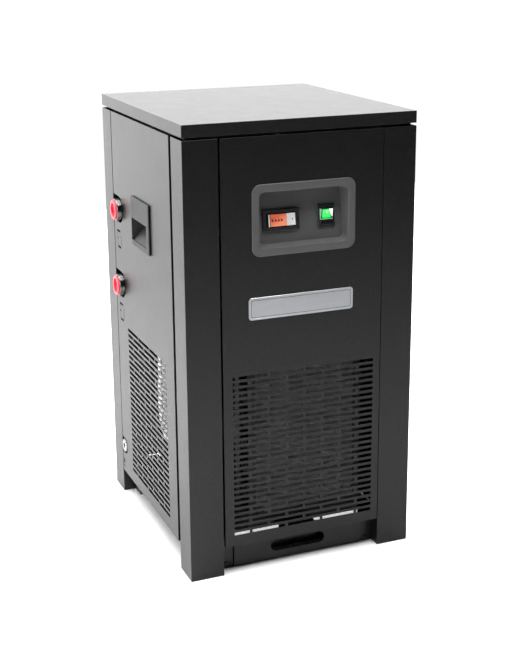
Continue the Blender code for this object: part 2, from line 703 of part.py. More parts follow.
def build_switch(plane):
    """Rocker switch: frame and body, and the rocker on its pin's axis."""
    face, body_depth = -0.0032, 0.030
    half = [side / 2 for side in SWITCH_SIZE]
    housing = block("switch_housing", (SWITCH_X - half[0], face, -half[1]),
                    (SWITCH_X + half[0], -GAP, half[1]), "black_plastic", 0.001, plane)
    body_half = [side / 2 for side in SWITCH_BODY]
    body = box_mesh("switch_body", (SWITCH_X - body_half[0], face / 2, -body_half[1]),
                    (SWITCH_X + body_half[0], body_depth, body_half[1]))
    boolean(housing, add_cutter("switch_body", body, parent=plane), 'UNION')
    clearance = 0.0005
    well_half = [side / 2 + clearance for side in ROCKER_SIZE]
    well = box_mesh("rocker_well", (SWITCH_X - well_half[0], face - 0.01, -well_half[1]),
                    (SWITCH_X + well_half[0], 0.014, well_half[1]))
    boolean(housing, add_cutter("rocker_well", well, parent=plane))
    build_rocker(plane, face)


ROCKER_PIVOT = 0.0045     # depth of the rocker's axis behind the pocket's back
ROCKER_THROW = radians(9)


def build_rocker(plane, face):
    """The rocker's side profile: two faces that meet in a shallow V, round underneath."""
    top, bottom = ROCKER_SIZE[1] / 2 - 0.0012, -ROCKER_SIZE[1] / 2 + 0.0012
    crest = -(face - 0.0006) + ROCKER_PIVOT
    lift = 0.0022
    underside = -0.0042
    profile = [(bottom, crest + lift), (bottom + 0.0004, 0.001), (-0.006, underside),
               (0.006, underside), (top - 0.0004, 0.001), (top, crest + lift), (0, crest)]
    mesh = outline_mesh("switch_rocker", [profile], ROCKER_SIZE[0])
    turn = Matrix(((0, 0, 1, 0), (0, -1, 0, 0), (1, 0, 0, 0), (0, 0, 0, 1)))
    mesh.transform(turn)
    add_part("switch_rocker", mesh, "switch_green", (SWITCH_X, ROCKER_PIVOT, 0),
             (ROCKER_THROW, 0, 0), plane)


def build_badge():
    """A plain name plate with nothing on it."""
    plate = outline_mesh("badge_plate", [rounded_rectangle(0.200, 0.040, 0.006)], 0.0010)
    add_part("badge_plate", plate, "plate_silver", (-0.003, FRONT - GAP - 0.0005, 0.498), TO_MINUS_Y)


def build_electrical_box():
    """The box behind the bezel, open towards it."""
    box = open_box("electrical_box", (-0.102, FRONT + 0.036, 0.588), (0.106, -0.128, 0.720),
                   (0, -1, 0), "galvanised")
    hole = cylinder_mesh("conduit_hole", 0.0085, 0.02)
    boolean(box, add_cutter("conduit_hole", hole, (-0.112, -0.160, 0.620), TO_PLUS_X))


# ---------------------------------------------------------------- air side
def build_ports():
    """Inlet and outlet fittings on the left side, each with a removable plug, and their pipes."""
    hex_radius = 0.0255
    hex_front, hex_back = -0.0020, 0.026
    for port, height in PORT_HEIGHTS.items():
        place = (LEFT, PORT_Y, height)
        fitting = turned(port + "_fitting",
                         [(0, PORT_SEAT), (PLUG_RADIUS + 0.0004, PORT_SEAT),
                          (PLUG_RADIUS + 0.0004, PORT_PROUD), (PORT_RING_RADIUS - 0.001, PORT_PROUD),
                          (PORT_RING_RADIUS, PORT_PROUD - 0.001), (PORT_RING_RADIUS, -0.010),
                          (0, -0.010)], "nickel", place, TO_MINUS_X)
        nut = bpy.data.meshes.new(port + "_nut")
        shape = bmesh.new()
        bmesh.ops.create_cone(shape, cap_ends=True, segments=6, radius1=hex_radius,
                              radius2=hex_radius, depth=hex_back - hex_front,
                              matrix=Matrix.Translation((0, 0, -(hex_front + hex_back) / 2))
                              @ Matrix.Rotation(pi / 6, 4, 'Z'))
        shape.to_mesh(nut)
        shape.free()
        boolean(fitting, add_cutter(port + "_nut", nut, place, TO_MINUS_X), 'UNION')
        for bore, radius, length in (("thread", PORT_BORE, 0.030), ("way", 0.012, 0.040)):
            mesh = cylinder_mesh(port + "_" + bore, radius, length)
            boolean(fitting, add_cutter(port + "_" + bore, mesh, (LEFT - 0.010, PORT_Y, height),
                                        TO_PLUS_X))
        turned(port + "_plug",
               [(0, 0.0065), (0.0120, 0.0065), (0.0135, PLUG_REACH), (0.0185, PLUG_REACH),
                (PLUG_RADIUS, PLUG_REACH - 0.001), (PLUG_RADIUS, PORT_SEAT + GAP),
                (PORT_BORE - GAP, PORT_SEAT + GAP), (PORT_BORE - GAP, -0.008), (0, -0.008)],
               "plug_red", place, TO_MINUS_X)
        start = LEFT + hex_back + GAP
        end = EXCHANGER_LOW.x + INSULATION - 0.0005
        pipe, wall = 0.0135, 0.0015
        turned(port + "_pipe",
               [(pipe, end - start), (pipe, 0), (pipe - wall, 0), (pipe - wall, end - start)],
               "copper", (start, PORT_Y, height), TO_PLUS_X, closed=True)


INSULATION = 0.012


def build_exchanger():
    """Aluminium heat exchanger in a foam jacket, on a folded stand over the compressor."""
    jacket = open_box("exchanger_jacket", EXCHANGER_LOW, EXCHANGER_HIGH, (0, 0, -1), "foam_black",
                      INSULATION)
    for port, height in PORT_HEIGHTS.items():
        hole = cylinder_mesh(port + "_jacket_hole", 0.0141, 0.04)
        boolean(jacket, add_cutter(port + "_jacket_hole", hole,
                                   (EXCHANGER_LOW.x - 0.01, PORT_Y, height), TO_PLUS_X))
    inside = Vector((INSULATION + GAP,) * 3)
    block("heat_exchanger", EXCHANGER_LOW + Vector((inside.x, inside.y, 0)),
          EXCHANGER_HIGH - inside, "aluminium", 0.003)
    stand_top = EXCHANGER_LOW.z - GAP
    stand = open_box("exchanger_stand", (-0.064, EXCHANGER_LOW.y, DECK_TOP + GAP),
                     (0.134, EXCHANGER_HIGH.y - 0.008, stand_top), (0, 0, -1), "galvanised", 0.002)
    open_front = box_mesh("stand_opening", (-0.0615, 0.05, 0.0), (0.1315, 0.25, stand_top - 0.004))
    boolean(stand, add_cutter("stand_opening", open_front))


def build_drain():
    """Condensate drain: bulkhead fitting, solenoid valve, its coil and the hose to it."""
    place = (LEFT, DRAIN_Y, DRAIN_Z + 0.001)
    turned("drain_fitting",
           [(0.0120, 0.0020), (0.0133, 0.0005), (0.0133, -0.010), (0.0100, -0.010),
            (0.0100, -0.052), (0.0050, -0.052), (0.0050, 0.0020)],
           "nickel", place, TO_MINUS_X, closed=True)
    valve_left = LEFT + 0.052 + GAP
    valve_right = valve_left + 0.036
    block("drain_valve", (valve_left, DRAIN_Y - 0.017, DRAIN_Z - 0.016),
          (valve_right, DRAIN_Y + 0.017, DRAIN_Z + 0.018), "brass", 0.002)
    turned("drain_coil",
           [(0, 0.036), (0.0145, 0.036), (0.0160, 0.0345), (0.0160, 0.0015), (0.0145, 0), (0, 0)],
           "black_plastic", ((valve_left + valve_right) / 2, DRAIN_Y, DRAIN_Z + 0.018 + GAP))
    hose_start = (valve_right + PIPE_GAP, DRAIN_Y, DRAIN_Z)
    tube("drain_hose",
         [hose_start, (-0.112, DRAIN_Y, 0.109), (-0.094, 0.166, 0.130), (-0.090, 0.164, 0.250),
          (-0.090, 0.158, 0.372), (-0.086, 0.152, 0.400), (-0.074, 0.150, 0.4095),
          (EXCHANGER_LOW.x - PIPE_GAP, 0.150, 0.410)],
         0.005, "hose_blue")


# ---------------------------------------------------------------- refrigerant side
def build_compressor():
    """Hermetic compressor: welded shell, foot plate and terminal cover."""
    radius = COMPRESSOR_RADIUS
    turned("compressor_shell",
           [(0, COMPRESSOR_HEIGHT), (radius * 0.45, 0.164), (radius * 0.82, 0.148), (radius, 0.118),
            (radius, 0.086), (radius + 0.0025, 0.086), (radius + 0.0025, 0.078), (radius, 0.078),
            (radius, 0.030), (radius * 0.86, 0.008), (radius * 0.62, 0), (0, 0)],
           "compressor_black", (*COMPRESSOR_AXIS, COMPRESSOR_LOW), steps=32)
    centre = Vector((*COMPRESSOR_AXIS, 0))
    half = Vector((0.088, 0.062, 0))
    open_box("compressor_feet", centre - half + Vector((0, 0, DECK_TOP + GAP)),
             centre + half + Vector((0, 0, COMPRESSOR_LOW - GAP)), (0, 0, -1), "compressor_black",
             0.003)
    cover_x = centre.x - radius - 0.0025 - GAP
    block("terminal_cover", (cover_x - 0.018, centre.y - 0.024, 0.128),
          (cover_x, centre.y + 0.024, 0.188), "black_plastic", 0.003)


def build_condenser():
    """Finned condenser, fan shroud, fan, motor and the motor's bracket."""
    block("condenser_coil", CONDENSER_LOW, CONDENSER_HIGH, "aluminium")
    open_box("condenser_support", (CONDENSER_LOW.x, FRONT + 0.0425, DECK_TOP + GAP),
             (CONDENSER_HIGH.x, CONDENSER_HIGH.y + 0.020, CONDENSER_LOW.z - GAP), (0, 0, -1),
             "black_paint")
    shroud_front = CONDENSER_HIGH.y + 0.0005
    shroud_back = shroud_front + 0.021
    shroud = open_box("fan_shroud", (CONDENSER_LOW.x, shroud_front, CONDENSER_LOW.z),
                      (CONDENSER_HIGH.x, shroud_back, CONDENSER_HIGH.z), (0, -1, 0), "black_paint")
    hole = cylinder_mesh("shroud_hole", FAN_RADIUS + 0.006, 0.03, 40)
    boolean(shroud, add_cutter("shroud_hole", hole, (FAN_CENTRE.x, shroud_back - 0.01, FAN_CENTRE.z),
                               TO_PLUS_Y))
    build_fan()
    build_motor(shroud_back)


def build_fan():
    """Five pitched blades on a hub, turning about the Y axis."""
    hub_radius, hub_depth = 0.024, 0.018
    fan = turned("fan_blade",
                 [(0, hub_depth / 2), (hub_radius, hub_depth / 2), (hub_radius, -hub_depth / 2),
                  (0, -hub_depth / 2)],
                 "black_plastic", FAN_CENTRE, TO_PLUS_Y)
    for index in range(5):
        angle = 2 * pi * index / 5
        blade = box_mesh("blade", (hub_radius - 0.006, -0.022, -0.0008), (FAN_RADIUS, 0.022, 0.0008))
        turn = Matrix.Rotation(angle, 4, 'Z') @ Matrix.Rotation(radians(22), 4, 'X')
        blade.transform(turn)
        boolean(fan, add_cutter("blade_%d" % (index + 1), blade, FAN_CENTRE, TO_PLUS_Y), 'UNION')


def build_motor(shroud_back):
    """Fan motor behind the fan, on a cross that stands off the shroud."""
    motor_front = FAN_CENTRE.y + 0.0105
    motor_length, motor_radius = 0.052, 0.040
    turned("fan_motor",
           [(0, motor_length), (motor_radius * 0.8, motor_length), (motor_radius, motor_length - 0.008),
            (motor_radius, 0.008), (motor_radius * 0.8, 0), (0, 0)],
           "compressor_black", (FAN_CENTRE.x, motor_front, FAN_CENTRE.z), TO_PLUS_Y)
    cross_front = motor_front + motor_length + GAP
    cross_thick, arm, arm_width = 0.0025, 0.104, 0.014
    diagonal = radians(45)
    hub = cylinder_mesh("motor_bracket", 0.030, cross_thick)
    bracket = add_part("motor_bracket", hub, "galvanised",
                       (FAN_CENTRE.x, cross_front, FAN_CENTRE.z), TO_PLUS_Y)
    for index, angle in enumerate((diagonal, -diagonal)):
        bar = box_mesh("bracket_bar", (-arm, -arm_width / 2, 0.0001),
                       (arm, arm_width / 2, cross_thick - 0.0001))
        bar.transform(Matrix.Rotation(angle, 4, 'Z'))
        boolean(bracket, add_cutter("bracket_bar_%d" % (index + 1), bar,
                                    (FAN_CENTRE.x, cross_front, FAN_CENTRE.z), TO_PLUS_Y), 'UNION')
    reach = cross_front - shroud_back - GAP
    for index in range(4):
        angle = diagonal + index * pi / 2
        radius = arm - 0.006
        post = cylinder_mesh("bracket_post", 0.0045, reach + cross_thick / 2, 10)
        place = (FAN_CENTRE.x + radius * cos(angle), shroud_back + GAP,
                 FAN_CENTRE.z + radius * sin(angle))
        boolean(bracket, add_cutter("bracket_post_%d" % (index + 1), post, place, TO_PLUS_Y), 'UNION')


def build_refrigerant_lines():
    """Discharge, liquid, capillary and suction lines, and the filter drier between them."""
    right_face = CONDENSER_HIGH.x + PIPE_GAP
    crown = COMPRESSOR_LOW + COMPRESSOR_HEIGHT - PIPE_GAP   # the shell's height off its axis
    tube("discharge_line",
         [(0.056, 0.060, crown), (0.058, 0.056, 0.255), (0.090, 0.030, 0.292),
          (0.150, -0.030, 0.330), (0.166, -0.110, 0.344), (0.162, -0.165, 0.348),
          (0.148, -0.183, 0.350), (right_face, -0.183, 0.350)], 0.004, "copper")
    drier_x, drier_y = 0.168, 0.020
    drier_low, drier_high = 0.130, 0.240
    tube("liquid_line",
         [(right_face, -0.183, 0.112), (0.148, -0.183, 0.112), (0.164, -0.165, 0.108),
          (drier_x, -0.100, 0.100), (drier_x, -0.010, 0.098), (drier_x, 0.014, 0.108),
          (drier_x, drier_y, drier_low - PIPE_GAP)], 0.0035, "copper")
    turned("filter_drier",
           [(0, 0.110), (0.005, 0.110), (0.014, 0.098), (0.014, 0.012), (0.005, 0), (0, 0)],
           "copper", (drier_x, drier_y, drier_low))
    jacket_face = EXCHANGER_HIGH.x + PIPE_GAP
    tube("capillary_line",
         [(drier_x, drier_y, drier_high + PIPE_GAP), (drier_x, 0.024, 0.290), (0.172, 0.070, 0.350),
          (0.168, 0.120, 0.405), (0.150, 0.138, 0.419), (jacket_face, 0.140, 0.420)],
         0.0022, "copper")
    tube("suction_line",
         [(jacket_face, 0.185, 0.460), (0.155, 0.185, 0.457), (0.174, 0.184, 0.420),
          (0.178, 0.170, 0.300), (0.178, 0.110, 0.215), (0.165, 0.068, 0.178),
          (0.140, 0.060, 0.172), (COMPRESSOR_AXIS.x + COMPRESSOR_RADIUS + PIPE_GAP, 0.060, 0.172)],
         0.006, "copper")


def build_wiring():
    """Spiral-wrapped conduit from the electrical box to the compressor's terminals."""
    cover_left = COMPRESSOR_AXIS.x - COMPRESSOR_RADIUS - 0.0025 - GAP - 0.018
    tube("wiring_conduit",
         [(-0.1025, -0.160, 0.620), (-0.135, -0.160, 0.618), (-0.175, -0.135, 0.585),
          (-0.196, -0.080, 0.510), (-0.198, -0.042, 0.430), (-0.198, -0.036, 0.340),
          (-0.198, -0.034, 0.250), (-0.186, -0.028, 0.198), (-0.145, 0.010, 0.168),
          (-0.100, 0.052, 0.159), (-0.080, 0.059, 0.158),
          (cover_left - PIPE_GAP, 0.060, 0.158)], 0.0080, "conduit_silver")


def build_dryer():
    start_scene()
    build_base()
    build_posts()
    build_lid()
    build_front_panel()
    build_side_panels()
    build_rear_panel()
    build_handles()
    plane = build_control_bezel()
    build_controller(plane)
    build_switch(plane)
    build_badge()
    build_electrical_box()
    build_ports()
    build_exchanger()
    build_drain()
    build_compressor()
    build_condenser()
    build_refrigerant_lines()
    build_wiring()


build_dryer()
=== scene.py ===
"""Looks of the refrigerated air dryer: finishes, fine pieces, studio and camera.

Units are metres, +Z is up and -Y is the front.  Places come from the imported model's own boxes.
"""
from math import cos, pi, radians, sin, sqrt

import bmesh
import bpy
from mathutils import Matrix, Vector


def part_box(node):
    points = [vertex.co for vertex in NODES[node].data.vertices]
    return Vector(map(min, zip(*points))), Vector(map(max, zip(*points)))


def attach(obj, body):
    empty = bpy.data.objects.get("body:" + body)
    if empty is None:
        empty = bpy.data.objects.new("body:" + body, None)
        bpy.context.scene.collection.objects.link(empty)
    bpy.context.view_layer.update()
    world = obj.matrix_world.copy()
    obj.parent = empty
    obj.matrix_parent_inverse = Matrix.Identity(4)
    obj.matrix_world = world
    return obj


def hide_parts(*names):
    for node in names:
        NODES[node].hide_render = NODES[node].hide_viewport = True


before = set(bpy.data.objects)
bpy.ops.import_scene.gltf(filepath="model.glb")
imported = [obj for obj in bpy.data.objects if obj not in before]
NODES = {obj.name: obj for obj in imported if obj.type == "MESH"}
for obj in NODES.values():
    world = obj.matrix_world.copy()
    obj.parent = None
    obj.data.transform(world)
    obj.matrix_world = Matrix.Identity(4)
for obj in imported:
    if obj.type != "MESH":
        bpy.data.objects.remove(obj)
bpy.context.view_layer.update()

# ---------------------------------------------------------------- places
LID_LOW, LID_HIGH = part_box("top_cover")
LEFT, RIGHT = LID_LOW.x, LID_HIGH.x
FRONT, REAR = LID_LOW.y, LID_HIGH.y
CENTRE = Vector(((LEFT + RIGHT) / 2, (FRONT + REAR) / 2, 0))


def at(x, y, z):
    """A place given from the cabinet's middle and the floor."""
    return CENTRE + Vector((x, y, z))


def middle(node):
    low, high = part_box(node)
    return (low + high) / 2


# ---------------------------------------------------------------- finishes
class Finish:
    """A material under way: a Principled shader and short calls that add nodes to it."""

    def __init__(self, name, colour, roughness, metallic=0.0, **sockets):
        self.material = bpy.data.materials.new(name)
        self.material.use_nodes = True
        self.tree = self.material.node_tree
        self.shader = self.tree.nodes["Principled BSDF"]
        self.shader.inputs["Base Color"].default_value = (*colour, 1)
        self.shader.inputs["Roughness"].default_value = roughness
        self.shader.inputs["Metallic"].default_value = metallic
        for socket, value in sockets.items():
            self.shader.inputs[socket.replace("_", " ")].default_value = value
        self.place = self.node('ShaderNodeTexCoord').outputs["Object"]

    def node(self, kind, inputs=None, **settings):
        made = self.tree.nodes.new(kind)
        for key, value in settings.items():
            setattr(made, key, value)
        for key, value in (inputs or {}).items():
            if isinstance(value, bpy.types.NodeSocket):
                self.tree.links.new(value, made.inputs[key])
            else:
                made.inputs[key].default_value = value
        return made

    def stretched(self, scale):
        """The place, scaled unevenly along X, Y and Z."""
        return self.node('ShaderNodeMapping', {"Vector": self.place, "Scale": scale}).outputs[0]

    def noise(self, scale, detail=3.0, roughness=0.5, place=None):
        made = self.node('ShaderNodeTexNoise', {"Vector": place or self.place, "Scale": scale,
                                                "Detail": detail, "Roughness": roughness})
        return made.outputs["Fac"]

    def cells(self, scale, output="Distance"):
        made = self.node('ShaderNodeTexVoronoi', {"Vector": self.place, "Scale": scale})
        return made.outputs[output]

    def span(self, value, low, high, start=0.0, end=1.0):
        """The value mapped from low..high to start..end, clamped."""
        return self.node('ShaderNodeMapRange', {"Value": value, "From Min": low, "From Max": high,
                                                "To Min": start, "To Max": end}).outputs[0]

    def math(self, operation, a, b=0.0, c=0.0):
        return self.node('ShaderNodeMath', {0: a, 1: b, 2: c}, operation=operation).outputs[0]

    def blend(self, factor, a, b):
        """Colour a where factor is 0 and b where it is 1."""
        mix = self.node('ShaderNodeMix', {"Factor": factor}, data_type='RGBA')
        for socket, colour in ((mix.inputs[6], a), (mix.inputs[7], b)):
            if isinstance(colour, bpy.types.NodeSocket):
                self.tree.links.new(colour, socket)
            else:
                socket.default_value = (*colour, 1)
        return mix.outputs[2]

    def axis(self, index, origin=0.0):
        """One coordinate of the place, counted from the origin."""
        value = self.node('ShaderNodeSeparateXYZ', {"Vector": self.place}).outputs[index]
        return self.math('SUBTRACT', value, origin) if origin else value

    def link(self, value, socket):
        self.tree.links.new(value, self.shader.inputs[socket])

    def bump(self, height, distance):
        made = self.node('ShaderNodeBump', {"Height": height, "Distance": distance})
        self.link(made.outputs[0], "Normal")

    def vary_roughness(self, scale, detail, low, high):
        """Roughness that drifts between low and high."""
        self.link(self.span(self.noise(scale, detail), 0.3, 0.7, low, high), "Roughness")


def times(factor, colour):
    return tuple(factor * channel for channel in colour)


def powder_coat(name, colour, roughness, grain=0.00018, scale=620, shine=0.38):
    """Polyester powder coat: orange peel, fine grain and faint handling marks."""
    f = Finish(name, colour, roughness, Specular_IOR_Level=shine)
    peel = f.noise(240, 2.0)
    fine = f.noise(scale, 4.0, 0.6)
    height = f.math('ADD', f.math('MULTIPLY', peel, 0.9), fine)
    f.bump(height, grain)
    worn = f.noise(30, 5.0, 0.65)
    f.link(f.span(worn, 0.3, 0.75, roughness - 0.01, roughness + 0.02), "Roughness")
    speck = f.span(fine, 0.5, 0.72)
    f.link(f.blend(speck, colour, times(4.0, colour)), "Base Color")
    return f.material


def moulded(name, colour, roughness):
    """Moulded plastic with an even spark-eroded grain."""
    f = Finish(name, colour, roughness)
    f.bump(f.noise(1500, 3.0, 0.55), 0.00003)
    f.vary_roughness(60, 3.0, roughness - 0.04, roughness + 0.05)
    f.link(f.blend(f.noise(400, 2.0), colour, times(1.35, colour)), "Base Color")
    return f.material


def galvanised(name):
    """Zinc spangle: irregular crystals of slightly different brightness and gloss."""
    f = Finish(name, (0.50, 0.51, 0.52), 0.42, 0.9)
    tone = f.node('ShaderNodeSeparateColor', {"Color": f.cells(110.0, "Color")}).outputs[0]
    f.link(f.blend(tone, (0.40, 0.41, 0.42), (0.60, 0.61, 0.62)), "Base Color")
    f.link(f.span(tone, 0, 1, 0.34, 0.52), "Roughness")
    f.bump(f.noise(500, 3.0), 0.00002)
    return f.material


def drawn_metal(name, colour, roughness, streak=(30, 30, 900), tarnish=0.72):
    """Bare metal with drawing or turning lines and slight tarnish."""
    f = Finish(name, colour, roughness, 1.0)
    lines = f.noise(1.0, 4.0, 0.6, f.stretched(streak))
    f.bump(lines, 0.00003)
    dull = f.span(f.noise(45, 4.0, 0.6), 0.4, 0.7)
    f.link(f.blend(dull, colour, times(tarnish, colour)), "Base Color")
    f.link(f.span(lines, 0.3, 0.7, roughness - 0.05, roughness + 0.08), "Roughness")
    return f.material


def foam(name, colour, glow=0.0):
    """Closed-cell foam: small pits, and a painted glow where glow is set."""
    f = Finish(name, colour, 0.93, Emission_Color=(1, 1, 1, 1), Emission_Strength=glow)
    f.bump(f.cells(900), 0.0002)
    f.link(f.blend(f.cells(600), colour, times(1.8, colour)), "Base Color")
    return f.material


def rubber(name, colour, roughness=0.7):
    f = Finish(name, colour, roughness)
    f.bump(f.noise(700, 3.0), 0.00003)
    f.vary_roughness(90, 3.0, roughness - 0.08, roughness + 0.08)
    return f.material


WINDOW = middle("controller_window")
ROCKER = middle("switch_housing")


def window_painted_reflections(name):
    """Smoked pane with two painted reflections of lights: a white field on its right and a white
    strip on its left.
    """
    smoke, white = (0.010, 0.010, 0.011), (0.88, 0.88, 0.87)
    f = Finish(name, smoke, 0.07, Coat_Weight=0.6, Coat_Roughness=0.03)
    x, z = f.axis(0, WINDOW.x), f.axis(2, WINDOW.z)
    tall = f.math('LESS_THAN', f.math('ABSOLUTE', z), 0.0105)
    # field and strip: two white painted reflections of lights, the field with a dark dot kept
    # clear; printed is their mask.
    field = f.math('COMPARE', x, 0.0188, 0.0082)
    strip = f.math('COMPARE', x, -0.0222, 0.0012)
    from_dot = f.math('ADD', f.math('POWER', f.math('SUBTRACT', x, 0.0215), 2.0),
                      f.math('POWER', z, 2.0))
    no_dot = f.math('GREATER_THAN', from_dot, 0.0011 ** 2)
    printed = f.math('MULTIPLY', f.math('MULTIPLY', f.math('ADD', field, strip), tall), no_dot)
    f.link(f.blend(printed, smoke, white), "Base Color")
    f.vary_roughness(300, 2.0, 0.05, 0.10)
    f.bump(f.noise(1200, 2.0), 0.000004)
    return f.material


def silicone_keypad(name):
    """Orange-red translucent silicone, with painted shade making it darker towards the upper left.
    """
    f = Finish(name, (0.84, 0.22, 0.11), 0.35, Emission_Strength=0.22)
    x, z = f.axis(0, WINDOW.x), f.axis(2, WINDOW.z)
    # Painted shade: darker towards the upper left, in the colour and in the glow.
    slope = f.math('SUBTRACT', f.math('MULTIPLY', x, 0.55), z)
    depth = f.span(slope, -0.012, 0.004)
    painted_shade_tint = f.blend(depth, (0.55, 0.062, 0.030), (0.92, 0.30, 0.17))
    cloud = f.span(f.noise(420, 3.0), 0.35, 0.7)
    f.link(f.blend(cloud, painted_shade_tint, (0.88, 0.24, 0.12)), "Base Color")
    f.link(painted_shade_tint, "Emission Color")
    f.bump(f.noise(2500, 3.0), 0.00002)
    f.vary_roughness(500, 2.0, 0.28, 0.42)
    return f.material


def lit_rocker(name):
    """Clear green acrylic lit from inside over black; the light end is the upper one. A pale edge
    line on it is a painted highlight and a white wedge on its right is a painted reflection; both
    glow.
    """
    f = Finish(name, (0.004, 0.07, 0.012), 0.08, Coat_Weight=0.7, Coat_Roughness=0.03)
    x, z = f.axis(0, ROCKER.x), f.axis(2, ROCKER.z)
    lit = f.span(z, -0.0048, -0.0040)
    inside_x = f.span(f.math('ABSOLUTE', x), 0.0072, 0.0088, 1.0, 0.0)
    inside_z = f.math('MULTIPLY', f.span(z, -0.0028, -0.0012),
                      f.span(z, 0.0125, 0.0140, 1.0, 0.0))
    core = f.math('MULTIPLY', inside_x, inside_z)
    # rim: a pale line along the lit face's left and lower edges, a painted highlight that also
    # glows.
    rim = f.math('MULTIPLY', lit, f.math('MAXIMUM', f.span(x, -0.0112, -0.0106, 1.0, 0.0),
                                         f.span(z, -0.0036, -0.0030, 1.0, 0.0)))
    ribs = f.span(f.math('SINE', f.math('MULTIPLY', x, 2600.0)), -1.0, 1.0, 0.75, 1.0)
    glow = f.math('MULTIPLY', core, ribs)
    green = f.blend(core, (0.003, 0.10, 0.012), (0.010, 0.62, 0.070))
    green = f.blend(rim, green, (0.36, 0.80, 0.46))
    # A white wedge on the right of the lit face, a painted reflection that also glows.
    edge = f.math('SUBTRACT', x, f.math('MULTIPLY', f.math('SUBTRACT', 0.0135, z), 0.52))
    painted_reflection_wedge = f.math('MULTIPLY', f.math('MULTIPLY', f.span(edge, 0.0036, 0.0042), lit),
                  f.span(z, 0.0138, 0.0142, 1.0, 0.0))
    green = f.blend(painted_reflection_wedge, green, (0.80, 0.90, 0.82))
    f.link(f.blend(lit, (0.010, 0.012, 0.010), green), "Base Color")
    # The painted highlight and the painted reflection glow here along with the lamp.
    light = f.blend(rim, (0.012, 0.90, 0.10), (0.30, 0.62, 0.38))
    f.link(f.blend(painted_reflection_wedge, light, (0.90, 1.0, 0.92)), "Emission Color")
    strength = f.math('MAXIMUM', glow, f.math('MULTIPLY', rim, 0.35))
    f.link(f.math('MULTIPLY', f.math('MAXIMUM', strength, painted_reflection_wedge), 0.85), "Emission Strength")
    f.vary_roughness(400, 2.0, 0.05, 0.12)
    f.bump(f.noise(900, 2.0), 0.000006)
    return f.material


def brushed_plate(name):
    """Anodised plate with brushing along its length."""
    f = Finish(name, (0.50, 0.51, 0.53), 0.34, 1.0)
    lines = f.noise(1.0, 5.0, 0.7, f.stretched((12, 40, 2600)))
    f.bump(lines, 0.00002)
    f.link(f.blend(f.span(lines, 0.3, 0.7), (0.40, 0.41, 0.43), (0.58, 0.59, 0.61)), "Base Color")
    f.vary_roughness(60, 4.0, 0.28, 0.42)
    return f.material


def print_ink(name):
    """Dead-matt screen print, slightly uneven."""
    f = Finish(name, (0.004, 0.004, 0.004), 1.0, Specular_IOR_Level=0.0)
    f.link(f.blend(f.noise(700, 3.0), (0.003, 0.003, 0.003), (0.010, 0.010, 0.010)), "Base Color")
    return f.material


def soft_plastic(name, colour, roughness, scatter=0.0):
    """Moulded polyethylene: waxy, faintly cloudy, with fine flow marks."""
    f = Finish(name, colour, roughness, Subsurface_Weight=scatter, Subsurface_Scale=0.002)
    lighter = tuple(min(1.0, 1.18 * channel + 0.01) for channel in colour)
    f.link(f.blend(f.span(f.noise(130, 4.0, 0.6), 0.3, 0.7), colour, lighter), "Base Color")
    f.bump(f.noise(900, 3.0), 0.00002)
    f.vary_roughness(70, 3.0, roughness - 0.06, roughness + 0.08)
    return f.material


def wrap_foil(name):
    """Silvered spiral wrap: creased, and bright from a painted glow."""
    f = Finish(name, (0.78, 0.78, 0.77), 0.30, 0.35, Emission_Color=(1, 1, 1, 1),
               Emission_Strength=0.45)
    f.bump(f.noise(380, 4.0, 0.6), 0.0003)
    f.link(f.blend(f.noise(160, 3.0), (0.60, 0.60, 0.59), (0.85, 0.85, 0.84)), "Base Color")
    f.vary_roughness(220, 3.0, 0.22, 0.42)
    return f.material


